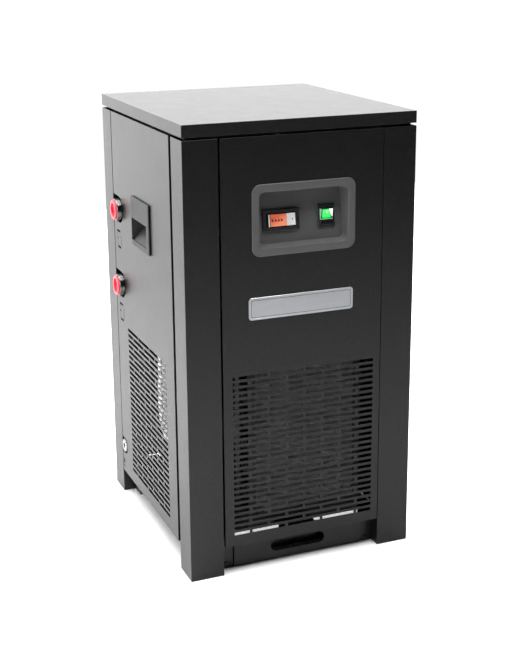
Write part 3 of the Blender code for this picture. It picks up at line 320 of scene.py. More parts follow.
MATERIALS = {name: make(name, *settings) for name, make, *settings in (
    ("black_steel", powder_coat, (0.0034, 0.0034, 0.0037), 0.31),
    ("lid_steel", powder_coat, (0.0060, 0.0060, 0.0064), 0.31),
    ("shade_steel", powder_coat, (0.010, 0.010, 0.011), 0.48),
    ("bezel", moulded, (0.070, 0.070, 0.072), 0.48),
    ("handle", moulded, (0.030, 0.030, 0.031), 0.62),
    ("housing", moulded, (0.012, 0.012, 0.013), 0.38),
    ("plain_black", moulded, (0.015, 0.015, 0.016), 0.50),
    ("galvanised", galvanised),
    ("nickel", drawn_metal, (0.40, 0.39, 0.37), 0.24),
    # The port ring and nut are darkened metal finishes: painted shade.
    ("ring_steel", drawn_metal, (0.17, 0.165, 0.16), 0.20, (900, 30, 30)),
    ("nut_steel", drawn_metal, (0.10, 0.10, 0.10), 0.40),
    ("zinc_screw", drawn_metal, (0.55, 0.55, 0.54), 0.30),
    ("black_screw", drawn_metal, (0.060, 0.060, 0.062), 0.35),
    ("aluminium", drawn_metal, (0.58, 0.59, 0.60), 0.36),
    ("fins", drawn_metal, (0.62, 0.63, 0.64), 0.45),
    ("copper", drawn_metal, (0.72, 0.36, 0.22), 0.26, (40, 40, 40), 0.6),
    ("brass", drawn_metal, (0.70, 0.50, 0.20), 0.28),
    ("badge", brushed_plate),
    ("badge_line", moulded, (0.020, 0.020, 0.022), 0.40),
    ("foam", foam, (0.022, 0.022, 0.023)),
    # white_foam: a painted glow of 0.55.
    ("white_foam", foam, (0.86, 0.86, 0.84), 0.55),
    ("rubber", rubber, (0.016, 0.016, 0.016)),
    ("hose", rubber, (0.04, 0.13, 0.42), 0.35),
    ("compressor", powder_coat, (0.010, 0.010, 0.011), 0.22, 0.00003, 400, 0.5),
    ("decal", print_ink),
    ("window", window_painted_reflections),
    ("keypad", silicone_keypad),
    ("key_mark", rubber, (0.030, 0.004, 0.003), 0.5),
    ("rocker", lit_rocker),
    ("white_mark", moulded, (0.80, 0.82, 0.80), 0.35),
    # plug and plug_rim are one red moulding in two colours: the lighter flange is painted light
    # and the darker dished cup is painted shade.
    ("plug", soft_plastic, (0.58, 0.008, 0.036), 0.38, 0.10),
    ("plug_rim", soft_plastic, (0.80, 0.070, 0.100), 0.34, 0.15),
    ("conduit", moulded, (0.30, 0.30, 0.30), 0.45),
    ("wrap", wrap_foil),
    ("fan", soft_plastic, (0.020, 0.020, 0.021), 0.42),
)}


# ---------------------------------------------------------------- shapes
SMOOTH_ANGLE = 35
WELD = 0.00001


def shade(mesh, smooth_angle=SMOOTH_ANGLE):
    mesh.shade_smooth()
    mesh.set_sharp_from_angle(angle=radians(smooth_angle))


def mesh_of(name, points, faces, smooth_angle):
    """A mesh whose faces point out, smooth except where it turns by more than the angle."""
    mesh = bpy.data.meshes.new(name)
    mesh.from_pydata([tuple(point) for point in points], [], faces)
    shape = bmesh.new()
    shape.from_mesh(mesh)
    bmesh.ops.remove_doubles(shape, verts=shape.verts, dist=0.000002)
    bmesh.ops.recalc_face_normals(shape, faces=shape.faces)
    shape.to_mesh(mesh)
    shape.free()
    shade(mesh, smooth_angle)
    return mesh


def merged(name, meshes):
    """Several meshes as the loose parts of one."""
    shape = bmesh.new()
    for mesh in meshes:
        shape.from_mesh(mesh)
        bpy.data.meshes.remove(mesh)
    result = bpy.data.meshes.new(name)
    shape.to_mesh(result)
    shape.free()
    shade(result)
    return result


def loft(name, rings, wrap=False, smooth_angle=SMOOTH_ANGLE):
    """A skin through rings of one count of points, closed by end faces or back to the first."""
    count = len(rings[0])
    spans = len(rings) if wrap else len(rings) - 1
    faces = []
    for i in range(spans):
        here, there = i * count, (i + 1) % len(rings) * count
        for j in range(count):
            k = (j + 1) % count
            faces.append((here + j, here + k, there + k, there + j))
    if not wrap:
        faces.append(tuple(range(count)))
        faces.append(tuple(range((len(rings) - 1) * count, len(rings) * count)))
    return mesh_of(name, [point for ring in rings for point in ring], faces, smooth_angle)


def towards(place, axis, side=(0, 0, 1)):
    """A placement at place whose Z points along the axis and whose X leans to the side."""
    z = Vector(axis).normalized()
    x = Vector(side)
    x = (x - x.dot(z) * z).normalized()
    return Matrix.Translation(place) @ Matrix((x, z.cross(x), z)).transposed().to_4x4()


def circle(radius, steps):
    angles = [2 * pi * i / steps for i in range(steps)]
    return [(radius * cos(angle), radius * sin(angle)) for angle in angles]


def hexagon(across_flats, steps, most=1.0):
    """Points around a hexagon, no further out than most; its first corner is on +X."""
    points = []
    for i in range(steps):
        angle = 2 * pi * i / steps
        from_flat = (angle % (pi / 3)) - pi / 6
        reach = min(across_flats / 2 / cos(from_flat), most)
        points.append((reach * cos(angle), reach * sin(angle)))
    return points


def drop_outline(x, y, radius, point, power, steps):
    """A drop about (x, y) whose point is on +Y; a higher power makes the point slimmer."""
    points = []
    for i in range(steps):
        angle = 2 * pi * i / steps
        reach = radius * (1 + point * max(0.0, sin(angle)) ** power)
        points.append((x + reach * cos(angle), y + reach * sin(angle)))
    return points


def raised(placement, outline, height):
    """The outline's points at a height along the placement's Z."""
    return [placement @ Vector((x, y, height)) for x, y in outline]


def turned(name, profile, placement, steps, closed=False):
    """A turned shape about the placement's Z; the profile is (radius, height)."""
    rings = [raised(placement, circle(radius, steps), height) for radius, height in profile]
    return loft(name, rings, wrap=closed)


def rounded_loop(width, height, radius, steps):
    """A rounded rectangle about the origin, anticlockwise."""
    points = []
    for quarter, (side_x, side_y) in enumerate(((1, 1), (-1, 1), (-1, -1), (1, -1))):
        for step in range(steps + 1):
            angle = (quarter + step / steps) * pi / 2
            points.append((side_x * (width / 2 - radius) + radius * cos(angle),
                           side_y * (height / 2 - radius) + radius * sin(angle)))
    return points


def slab(name, outline, placement, bottom, top):
    """A flat piece of the outline's shape between two heights."""
    return loft(name, [raised(placement, outline, level) for level in (bottom, top)])


def box_shape(name, low, high):
    low, high = Vector(low), Vector(high)
    plan = [(low.x, low.y), (high.x, low.y), (high.x, high.y), (low.x, high.y)]
    return loft(name, [[Vector((x, y, z)) for x, y in plan] for z in (low.z, high.z)])


def smooth_route(stations, per_span):
    """Points along a Catmull-Rom curve through the stations."""
    stations = [Vector(station) for station in stations]
    padded = [2 * stations[0] - stations[1]] + stations + [2 * stations[-1] - stations[-2]]
    route = []
    for i in range(1, len(padded) - 2):
        before, start, end, after = padded[i - 1:i + 3]
        for step in range(per_span):
            t = step / per_span
            route.append(0.5 * (2 * start + (end - before) * t
                                + (2 * before - 5 * start + 4 * end - after) * t ** 2
                                + (3 * start - before - 3 * end + after) * t ** 3))
    route.append(stations[-1])
    return route


def carried_frames(route):
    """For each point of a route its direction and two directions across it, without twist."""
    frames = []
    across = None
    for i, point in enumerate(route):
        ahead = (route[min(i + 1, len(route) - 1)] - route[max(i - 1, 0)]).normalized()
        if across is None:
            across = ahead.orthogonal()
        across = (across - across.dot(ahead) * ahead).normalized()
        frames.append((point, ahead, across, ahead.cross(across)))
    return frames


def pipe(name, route, radius, steps):
    """A round pipe along the route with flat ends."""
    angles = [2 * pi * i / steps for i in range(steps)]
    return loft(name, [[point + radius * (cos(angle) * u + sin(angle) * v) for angle in angles]
                       for point, _, u, v in carried_frames(route)])


def piece(name, mesh, material, body="cabinet", replaces=(), bevel=0.0):
    """Put a mesh into the scene as a piece that rides a body and takes its finish from a slot."""
    made = bpy.data.objects.new(name, mesh)
    bpy.context.scene.collection.objects.link(made)
    mesh.materials.append(MATERIALS[material])
    if bevel:
        round_edges(made, bevel)
    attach(made, body)
    if replaces:
        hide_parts(*replaces)


def modify(item, name, kind, **settings):
    modifier = item.modifiers.new(name, kind)
    for key, value in settings.items():
        setattr(modifier, key, value)


def round_edges(item, width, segments=2, angle=38, harden=True):
    """Weld the mesh and bevel its sharp edges; hardened normals keep the flat faces flat."""
    modify(item, "weld", 'WELD', merge_threshold=WELD)
    modify(item, "rounded_edges", 'BEVEL', width=width, segments=segments, limit_method='ANGLE',
           angle_limit=radians(angle), harden_normals=harden)


def subdivide(item):
    modify(item, "round", 'SUBSURF', levels=2, render_levels=2)


def cut(mesh, cutters):
    """The mesh with the cutters' meshes taken out of it."""
    target, *tools = [bpy.data.objects.new("blank", data) for data in (mesh, *cutters)]
    for item in (target, *tools):
        bpy.context.scene.collection.objects.link(item)
    for tool in tools:
        modify(target, "cut", 'BOOLEAN', object=tool, operation='DIFFERENCE')
    bpy.context.view_layer.update()
    evaluated = target.evaluated_get(bpy.context.evaluated_depsgraph_get())
    result = bpy.data.meshes.new_from_object(evaluated)
    for item in (target, *tools):
        bpy.data.objects.remove(item, do_unlink=True)
    result.materials.clear()
    shade(result)
    return result


def screw(name, place, axis, radius, height):
    """A button-head screw with a hexagon socket, standing on an upright surface at place."""
    placement = towards(place, axis)
    steps, head = 36, ((0.98, 0), (1, 0.15), (0.97, 0.5), (0.86, 0.8), (0.68, 0.97), (0.58, 1))
    rings = [raised(placement, circle(radius * reach, steps), height * level)
             for reach, level in head]
    rings += [raised(placement, hexagon(radius * 0.9, steps), height * level)
              for level in (1, 0.25)]
    piece(name, loft(name, rings), "black_screw")


# ---------------------------------------------------------------- carried-over nodes
def keep(material, names, edge=0.0, segments=2):
    """Give carried-over nodes their finish and, where edge is set, rounded edges."""
    for name in names:
        data = NODES[name].data
        data.materials.clear()
        data.materials.append(MATERIALS[material])
        if edge:
            round_edges(NODES[name], edge, segments)


def keep_turned(material, names, edge=0.0003):
    """The same for turned nodes, which are also subdivided until they look round."""
    for name in names:
        keep(material, [name])
        round_edges(NODES[name], edge, angle=30, harden=False)
        subdivide(NODES[name])


def keep_tubes(material, names):
    """The same for bent tubes, which are welded, subdivided and smooth all over."""
    for name in names:
        keep(material, [name])
        modify(NODES[name], "weld", 'WELD', merge_threshold=WELD)
        subdivide(NODES[name])
        NODES[name].data.shade_smooth()


def finish_nodes():
    keep("lid_steel", ["top_cover"], 0.0007, 3)
    keep("black_steel", ["front_panel", "rear_panel", "side_panel_left", "side_panel_right"],
         0.0006)
    keep("black_steel", [name for name in NODES if name.startswith("corner_post")], 0.0007, 3)
    keep("black_steel", [name for name in NODES if name.startswith("base_bracket")], 0.0004)
    keep("black_steel", ["base_rail_front", "base_rail_rear", "base_deck", "condenser_support"],
         0.0005)
    keep("shade_steel", ["fan_shroud"], 0.0005)
    keep("galvanised", ["electrical_box", "exchanger_stand", "motor_bracket"], 0.0003)
    keep("foam", ["lid_seal"], 0.0012, 3)
    keep("foam", ["exchanger_jacket"], 0.0025, 3)
    keep("handle", ["handle_cup_left", "handle_cup_right"], 0.0006, 3)
    keep("housing", ["controller_housing", "switch_housing"], 0.0005, 3)
    keep("window", ["controller_window"], 0.0002)
    keep("keypad", ["controller_keypad"], 0.0003)
    keep("compressor", ["compressor_feet"], 0.0012, 3)
    keep("plain_black", ["terminal_cover"], 0.0008, 3)
    keep("aluminium", ["heat_exchanger"], 0.0008)
    keep("brass", ["drain_valve"], 0.0008, 3)
    keep_turned("nickel", ["drain_fitting"])
    keep_turned("copper", ["inlet_pipe", "outlet_pipe"])
    keep_turned("copper", ["filter_drier"], 0.0010)
    keep_turned("compressor", ["fan_motor"], 0.0015)
    keep_turned("plain_black", ["drain_coil"], 0.0008)
    keep_tubes("copper", ["discharge_line", "liquid_line", "capillary_line", "suction_line"])
    keep_tubes("hose", ["drain_hose"])


# ---------------------------------------------------------------- control panel
def build_bezel():
    """The moulded surround as one skin: its back, the rim, the lip and the sloping pocket."""
    low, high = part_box("control_bezel")
    centre = (low + high) / 2
    outer, outer_radius = Vector((high.x - low.x, high.z - low.z)), 0.016
    opening, opening_radius = Vector((0.1685, 0.098)), 0.0095
    wall, seat, rim, lip = 0.0035, FRONT - 0.0003, 0.0016, 0.0014
    depth_top, depth_bottom, draft, fillet = 0.028, 0.012, 0.0045, 0.0030

    def ring(size, grown, radius, y):
        size = size + Vector((2 * grown, 2 * grown))
        loop = rounded_loop(size.x, size.y, radius, 10)
        return [Vector((centre.x + u, y, centre.z + v)) for u, v in loop]

    rings = [ring(opening, wall, 0.0114, high.y), ring(opening, wall, 0.0114, seat),
             ring(outer, 0, outer_radius, seat)]
    for i in range(5):
        turn = i / 4 * pi / 2
        inset = rim * (1 - cos(turn))
        rings.append(ring(outer, -inset, outer_radius - inset, low.y + rim * (1 - sin(turn))))
    for i in range(6):
        turn = i / 5 * pi / 2
        outset = lip * (1 - sin(turn))
        rings.append(ring(opening, outset, opening_radius + outset,
                          low.y + lip * (1 - cos(turn))))
    mouth, floor, inner = rings[-1], [], []
    for point in ring(opening, -draft, 0.0080, 0):
        rise = (point.z - centre.z + opening.y / 2) / opening.y
        point.y = FRONT + depth_bottom + (depth_top - depth_bottom) * rise
        floor.append(point)
        step = Vector((centre.x - point.x, 0, centre.z - point.z)).normalized() * fillet
        moved = point + step
        moved.y += (depth_top - depth_bottom) / opening.y * step.z
        inner.append(moved)
    for share in (0.86, 0.95, 0.99):
        rings.append([near.lerp(far, share) for near, far in zip(mouth, floor)])
    rings.append(inner)
    mesh = loft("control_bezel_fine", rings)
    cutters = [control_cutter(node, *size) for node, size in CONTROL_HOLES.items()]
    piece("control_bezel_fine", cut(mesh, cutters), "bezel",
          replaces=["control_bezel"])


CONTROL_TURN = Matrix.Rotation(radians(-9.27), 4, 'X')
CONTROL_DEPTH = 0.01944
CONTROL_HEIGHT = 0.6475
CONTROL_HOLES = {"controller_housing": (0.0665, 0.0340), "switch_housing": (0.0295, 0.0365)}


def control_place(x, z, out=0.0):
    """A placement on the pocket's sloping back, x and z from its middle; its Z looks out."""
    origin = Matrix.Translation(at(0, FRONT + CONTROL_DEPTH - CENTRE.y, CONTROL_HEIGHT))
    plane = origin @ CONTROL_TURN @ Matrix.Translation((x, -out, z))
    return plane @ Matrix(((1, 0, 0, 0), (0, 0, -1, 0), (0, 1, 0, 0), (0, 0, 0, 1)))


def control_cutter(node, width, height):
    """A block that passes through the pocket's back where the node stands."""
    place = control_place(middle(node).x - CENTRE.x, 0)
    outline = rounded_loop(width, height, 0.0005, 2)
    return slab("cutter", outline, place, -0.05, 0.006)


def build_controls():
    build_bezel()
    for index in range(4):
        key = "controller_key_%d" % (index + 1)
        body = "key_%d" % (index + 1)
        low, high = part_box(key)
        place = control_place(middle(key).x - CENTRE.x, 0)
        bottom, top = sorted((place.inverted() @ corner).z for corner in (low, high))
        cap = turned(key + "_cap", [(0, bottom), (0.0021, bottom), (0.0021, top - 0.0005),
                                    (0.0018, top - 0.0001), (0.0011, top), (0, top)], place, 32)
        piece(key + "_cap", cap, "keypad", body, replaces=[key])
        drop = drop_outline(0.0, -0.0006, 0.00150, 0.85, 8, 28)
        mark = slab(key + "_mark", drop, place, top - 0.0002, top + 0.00008)
        piece(key + "_mark", mark, "key_mark", body)
    build_rocker()


def build_rocker():
    """The rocker, with a ring mark set on the face found under the mark's place."""
    keep("rocker", ["switch_rocker"], 0.0007, 4)
    rocker = NODES["switch_rocker"]
    bpy.context.view_layer.update()
    start = Vector((ROCKER.x + 0.0012, FRONT - 0.03, ROCKER.z + 0.0098))
    inside = rocker.matrix_world.inverted()
    hit, place, normal, _ = rocker.ray_cast(inside @ start, inside.to_3x3() @ Vector((0, 1, 0)))
    if not hit:
        raise RuntimeError("the ring mark has no face under it")
    turn = rocker.matrix_world.to_3x3()
    face = towards(rocker.matrix_world @ place, turn @ normal)
    steps, outer, inner = 32, 0.0027, 0.0018
    rings = [raised(face, circle(radius, steps), level)
             for radius, level in ((outer, -0.0004), (outer, 0.0001),
                                   (inner, 0.0001), (inner, -0.0004))]
    piece("switch_rocker_mark", loft("switch_rocker_mark", rings, wrap=True), "white_mark",
          "rocker")


def build_badge():
    """A plain plate with a raised border and a blank dark field."""
    low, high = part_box("badge_plate")
    centre = (low + high) / 2
    width, height = high.x - low.x, high.z - low.z
    place = towards((centre.x, high.y, centre.z), (0, -1, 0), (1, 0, 0))
    thick = high.y - low.y
    rings = []
    for inset, level in ((0, 0), (0, thick - 0.0003), (0.0003, thick), (0.0022, thick),
                         (0.0025, thick - 0.00025)):
        loop = rounded_loop(width - 2 * inset, height - 2 * inset, 0.006 - inset, 10)
        rings.append(raised(place, loop, level))
    piece("badge_plate_fine", loft("badge_plate_fine", rings), "badge",
          replaces=["badge_plate"])
    lines = []
    for inset in (0.0045, 0.0052):
        loop = rounded_loop(width - 2 * inset, height - 2 * inset, 0.0035, 8)
        for level in (thick - 0.0003, thick - 0.0002):
            lines.append(raised(place, loop, level))
    order = [lines[0], lines[1], lines[3], lines[2]]
    piece("badge_line", loft("badge_line", order, wrap=True), "badge_line")


# ---------------------------------------------------------------- air side
PORTS = {"inlet": "inlet_plug_body", "outlet": "outlet_plug_body"}
THREAD = 0.0023


def thread_profile(radius, depth, start, end):
    """A zigzag along the height between start and end, for a screw thread's section."""
    turns = int(abs(end - start) / THREAD)
    step = (end - start) / turns
    points = []
    for turn in range(turns):
        points.append((radius, start + turn * step))
        points.append((radius - depth, start + (turn + 0.5) * step))
    return points + [(radius, end)]


def build_ports():
    """Each port: a nickel ring with its thread, the nut behind it and the red plug."""
    for port, body in PORTS.items():
        node = port + "_fitting"
        low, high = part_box(node)
        seat = Vector((LEFT, (low.y + high.y) / 2, (low.z + high.z) / 2))
        place = towards(seat, (-1, 0, 0))
        profile = [(0.0120, -0.026), (0.0214, -0.026), (0.0214, 0.0076), (0.0211, 0.0085),
                   (0.0205, 0.0090), (0.0195, 0.0090), (0.0194, 0.0084), (0.0166, 0.0084)]
        profile += thread_profile(0.0155, -0.0009, 0.0074, -0.0185) + [(0.0120, -0.0200)]
        ring = turned(port + "_ring", profile, place, 72, closed=True)
        flats = 2 * 0.0255 * cos(pi / 6)
        nut_place = towards(seat, (-1, 0, 0), (0, 1, 0))
        rings = []
        for level, most in ((-0.026, 0.0236), (-0.0248, 0.0255),
                            (-0.0082, 0.0255), (-0.0070, 0.0236)):
            rings.append(raised(nut_place, hexagon(flats, 72, most), level))
        for level in (-0.0070, -0.026):
            rings.append(raised(nut_place, circle(0.0216, 72), level))
        # Ring and nut finishes are darkened as painted shade.
        piece(port + "_fitting_fine", ring, "ring_steel", replaces=[node])
        piece(port + "_nut", loft(port + "_nut", rings, wrap=True), "nut_steel")
        build_plug(port, place, body)


def build_plug(port, place, body):
    """A moulded thread protector: a flat flange, a dished middle with a grip bar, a thread."""
    top, seat, radius = 0.0130, 0.0087, 0.0190
    rim = [(0.0140, 0.0100), (0.0136, top - 0.0006), (0.0141, top - 0.0001), (0.0148, top),
           (0.0180, top), (0.0187, top - 0.0003), (radius, top - 0.0010), (radius, seat + 0.0004),
           (radius - 0.0004, seat), (0.0152, seat), (0.0150, 0.0090)]
    # The flange takes the lighter red as painted light; the cup takes the darker red as painted
    # shade.
    flange = turned(port + "_plug_rim", rim, place, 72, closed=True)
    piece(port + "_plug_rim", flange, "plug_rim", body)
    cup = [(0, 0.0068), (0.0118, 0.0068), (0.0128, 0.0074), (0.0134, 0.0090), (0.0138, 0.0098),
           (0.0146, 0.0098), (0.0151, 0.0090)]
    cup += thread_profile(0.0151, 0.0007, 0.0080, -0.0072)
    cup += [(0.0140, -0.0080), (0.0122, -0.0080), (0.0120, 0.0042), (0, 0.0042)]
    shell = turned(port + "_plug_cup", cup, place, 72)
    bar = []
    for level, half in ((0.0062, 0.0011), (0.0104, 0.0009), (0.0108, 0.0005)):
        bar.append(raised(place, rounded_loop(0.0242, 2 * half, half * 0.9, 3), level))
    grip = loft(port + "_plug_bar", bar)
    piece(port + "_plug_fine", merged(port + "_plug_fine", [shell, grip]), "plug", body,
          replaces=[port + "_plug"])


def build_decals():
    """Printed signs beside the ports and the drain: a circuit sign and a drop, no lettering."""
    face = towards((LEFT, CENTRE.y, 0), (-1, 0, 0), (0, 1, 0))

    def printed(name, outlines):
        """Print outlines of (y, z); the placement's own Y looks down."""
        films = [slab(name, [(y, -z) for y, z in outline], face, 0.00002, 0.00010)
                 for outline in outlines]
        piece(name, merged(name, films), "decal")

    def bar(low_y, high_y, low_z, high_z):
        return [(low_y, low_z), (high_y, low_z), (high_y, high_z), (low_y, high_z)]

    for port, top in (("inlet", 0.5685), ("outlet", 0.4190)):
        printed(port + "_sign", [bar(0.1440, 0.1640, top - 0.0040, top),
                                 bar(0.1640, 0.1652, top - 0.0105, top),
                                 bar(0.1600, 0.1640, top - 0.0195, top - 0.0145),
                                 bar(0.1382, 0.1397, top - 0.0300, top - 0.0080),
                                 bar(0.1420, 0.1620, top - 0.0360, top - 0.0320),
                                 bar(0.1620, 0.1632, top - 0.0320, top - 0.0240)])
    printed("drain_sign", [drop_outline(0.1745, 0.0715, 0.0042, 0.9, 10, 32)])
    printed("drain_sign_line", [bar(0.1690, 0.1800, 0.0610, 0.0625)])


# ---------------------------------------------------------------- base, vents and fasteners
def build_base_details():
    """Foam strips with a painted glow on the front rail, screws in the brackets and the rear
    panel.
    """
    rail_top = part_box("base_rail_front")[1].z
    # The white strips glow with painted light, standing in for light seen through the lowest front
    # slots.
    for name, side in (("left", -1), ("right", 1)):
        start, end = sorted((side * 0.037, side * 0.126))
        low = (at(start, 0, 0).x, FRONT + 0.026, rail_top + 0.0001)
        high = (at(end, 0, 0).x, FRONT + 0.034, rail_top + 0.0050)
        piece("rail_foam_painted_light_" + name, box_shape("rail_foam_painted_light", low, high), "white_foam",
              bevel=0.0008)
    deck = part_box("base_deck")[1]

    def strip(name, edge, wall, front, back):
        """A thin strip at the deck's level, between its edge and the wall beside it."""
        low = (min(edge, wall), front, deck.z - 0.0005)
        high = (max(edge, wall), back, deck.z + 0.0015)
        piece(name, box_shape(name, low, high), "black_steel", bevel=0.0004)

    for name, side in (("left", -1), ("right", 1)):
        outermost = {node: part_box(node)[side > 0].x
                     for node in ("base_bracket_rear_" + name, "base_deck", "base_rail_rear")}
        low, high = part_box("base_bracket_front_" + name)
        screw("bracket_screw_" + name, ((low.x + high.x) / 2 - side * 0.004, low.y, 0.0085),
              (0, -1, 0), 0.0042, 0.0022)
        rear = middle("base_bracket_rear_" + name)
        screw("side_bracket_screw_" + name,
              (outermost["base_bracket_rear_" + name], rear.y, 0.044), (side, 0, 0),
              0.0040, 0.0022)
        wall = (LEFT if side < 0 else RIGHT) - side * 0.0020
        strip("base_deck_edge_" + name, outermost["base_deck"] + side * 0.0003, wall,
              at(0, -0.154, 0).y, at(0, 0.146, 0).y)
        edge = outermost["base_rail_rear"] + side * 0.0004
        strip("base_deck_corner_" + name, edge, edge + side * 0.040, deck.y + 0.0003,
              REAR - 0.0093)
    low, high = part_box("rear_panel")
    for column, x in enumerate((low.x + 0.012, high.x - 0.012)):
        for row in range(3):
            z = low.z + 0.030 + row * (high.z - low.z - 0.060) / 2
            screw("rear_screw_%d_%d" % (column + 1, row + 1), (x, REAR, z), (0, 1, 0),
                  0.0045, 0.0024)


def build_gland():
    """Hexagon gland with a domed nut and a rubber bush."""
    low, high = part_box("cable_gland")
    place = towards(((low.x + high.x) / 2, REAR, (low.z + high.z) / 2), (0, 1, 0), (0, 0, 1))
    reach = high.y - REAR
    flats = 0.0216
    rings = [raised(place, circle(0.0094, 48), level) for level in (low.y - REAR, 0.0004)]
    for level, most in ((0.0004, 0.0122), (0.0012, 0.0125), (0.0062, 0.0125), (0.0070, 0.0118)):
        rings.append(raised(place, hexagon(flats, 48, most), level))
    for radius, level in ((0.0100, 0.0072), (0.0100, 0.0105), (0.0092, 0.0130),
                          (0.0076, reach - 0.0008), (0.0066, reach), (0.0058, reach),
                          (0.0056, reach - 0.0012), (0.0056, low.y - REAR)):
        rings.append(raised(place, circle(radius, 48), level))
    piece("cable_gland_fine", loft("cable_gland_fine", rings, wrap=True), "plain_black",
          replaces=["cable_gland"])
    bush = [(0.0045, reach - 0.0020), (0.0056, reach - 0.0020), (0.0056, -0.010), (0.0045, -0.010)]
    piece("gland_bush", turned("gland_bush", bush, place, 40, closed=True), "rubber")


# ---------------------------------------------------------------- inside
def build_condenser():
    """Fin pack between two folded end plates, with rows of tube and their return bends."""
    low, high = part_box("condenser_coil")
    end = 0.014
    fin, pitch = 0.0003, 0.0026
    count = int((high.x - low.x - 2 * end) / pitch)
    first = (low.x + high.x) / 2 - (count - 1) * pitch / 2
    fins = [box_shape("fin", (x - fin / 2, low.y + 0.001, low.z + 0.002),
                      (x + fin / 2, high.y - 0.001, high.z - 0.002))
            for x in (first + index * pitch for index in range(count))]
    piece("condenser_coil_fins", merged("condenser_coil_fins", fins), "fins",
          replaces=["condenser_coil"])
    plates = []
    for side, x in ((-1, low.x + end), (1, high.x - end)):
        plates.append(box_shape("plate", (x - 0.0006, low.y, low.z), (x + 0.0006, high.y, high.z)))
        outer = low.x + 0.0005 if side < 0 else high.x - 0.0005
        for y in (low.y, high.y - 0.0012):
            plates.append(box_shape("plate", (min(x, outer), y, low.z),
                                    (max(x, outer), y + 0.0012, high.z)))
    for z in (low.z, high.z - 0.0012):
        plates.append(box_shape("plate", (low.x + 0.0005, low.y, z),
                                (high.x - 0.0005, high.y, z + 0.0012)))
    piece("condenser_frame", merged("condenser_frame", plates), "shade_steel")
    rows, radius = 11, 0.0044
    columns = [(low.y + high.y) / 2 + offset for offset in (-0.013, 0.0, 0.013)]
    line_low, line_high = 0.112, 0.350
    rise = (line_high - line_low) / (rows - 1)
    tubes = []
    for column, y in enumerate(columns):
        for row in range(rows):
            z = line_low + row * rise
            tubes.append(pipe("row", [Vector((low.x + end - 0.002, y, z)),
                                      Vector((high.x - end + 0.002, y, z))], radius, 14))
            if row == rows - 1:
                continue
            side = 1 if row % 2 else -1
            root = (low.x + end - 0.001) if side < 0 else (high.x - end + 0.001)
            bend = []
            for step in range(13):
                angle = pi * step / 12
                bend.append(Vector((root + side * 0.0075 * sin(angle), y,
                                    z + rise / 2 * (1 - cos(angle)))))
            tubes.append(pipe("bend", bend, radius, 14))
    for z in (line_low, line_high):
        tubes.append(pipe("stub", [Vector((x, columns[1], z)) for x in (high.x - end, high.x)],
                          radius, 14))
    piece("condenser_tubes", merged("condenser_tubes", tubes), "shade_steel")


def build_fan():
    """Five swept, twisted blades on a turned hub."""
    centre = middle("fan_blade")
    place = towards(centre, (0, 1, 0), (1, 0, 0))
    hub = [(0, 0.009), (0.018, 0.009), (0.0225, 0.0075), (0.024, 0.005), (0.024, -0.008),
           (0.0228, -0.009), (0.009, -0.009), (0.008, -0.006), (0, -0.006)]
    meshes = [turned("hub", hub, place, 48)]
    for blade in range(5):
        start = 2 * pi * blade / 5
        rings = []
        for station in range(9):
            share = station / 8
            radius = 0.021 + share * 0.071
            chord = 0.030 + 0.022 * share
            pitch = radians(32 - 14 * share)
            angle = start + 0.30 * share ** 1.5
            radial = Vector((cos(angle), sin(angle), 0))
            tangent = Vector((-sin(angle), cos(angle), 0))
            along = cos(pitch) * tangent + Vector((0, 0, sin(pitch)))
            normal = radial.cross(along)
            upper, lower = [], []
            for point in range(9):
                s = point / 8 - 0.5
                bow = 0.0035 * (1 - 4 * s * s)
                half = 0.0009 * sqrt(max(0.02, 1 - 4 * s * s))
                spot = radius * radial + s * chord * along
                upper.append(place @ (spot + (bow + half) * normal))
                lower.append(place @ (spot + (bow - half) * normal))
            rings.append(upper + lower[::-1])
        meshes.append(loft("blade", rings, smooth_angle=50))
    piece("fan_blade_fine", merged("fan_blade_fine", meshes), "fan", "fan",
          replaces=["fan_blade"])


def build_compressor():
    """Deep-drawn shell of two halves with a weld bead, mounting grommets and nuts."""
    low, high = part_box("compressor_shell")
    centre = (low + high) / 2
    radius, bottom, top = (high.x - low.x) / 2 - 0.0025, low.z, high.z
    place = towards((centre.x, centre.y, 0), (0, 0, 1), (1, 0, 0))
    seam = bottom + 0.082
    profile = [(0, top)]
    shoulder = bottom + 0.118
    for step in range(1, 13):
        angle = pi / 2 * step / 12
        profile.append((radius * sin(angle) ** 0.9, shoulder + (top - shoulder) * cos(angle)))
    profile += [(radius + bulge, seam + level) for bulge, level in (
        (0, 0.004), (0.0018, 0.0036), (0.0025, 0.0016), (0.0014, 0.0004),
        (0.0014, -0.0004), (0.0025, -0.0016), (0.0018, -0.0036), (0, -0.004))]
    base = bottom + 0.030
    for step in range(1, 11):
        angle = pi / 2 * step / 10
        profile.append((radius * (0.62 + 0.38 * cos(angle)), base - (base - bottom) * sin(angle)))
    profile.append((0, bottom))
    shell = turned("compressor_shell_fine", profile, place, 96)
    piece("compressor_shell_fine", shell, "compressor",
          replaces=["compressor_shell"])
    foot_low, foot_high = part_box("compressor_feet")
    for index, (side_x, side_y) in enumerate(((-1, -1), (1, -1), (1, 1), (-1, 1))):
        spot = Vector((centre.x + side_x * 0.076, centre.y + side_y * 0.050, foot_high.z))
        stand = towards(spot, (0, 0, 1), (1, 0, 0))
        grommet = [(0.0035, 0), (0.0095, 0), (0.0100, 0.0010), (0.0088, 0.0022), (0.0095, 0.0034),
                   (0.0085, 0.0046), (0.0035, 0.0046)]
        piece("compressor_grommet_%d" % (index + 1),
              turned("grommet", grommet, stand, 40, closed=True), "rubber")
        rings = [raised(stand, hexagon(0.010, 36, most), level)
                 for level, most in ((0.0046, 0.0055), (0.0095, 0.0058), (0.0102, 0.0052))]
        piece("compressor_nut_%d" % (index + 1), loft("nut", rings), "zinc_screw")


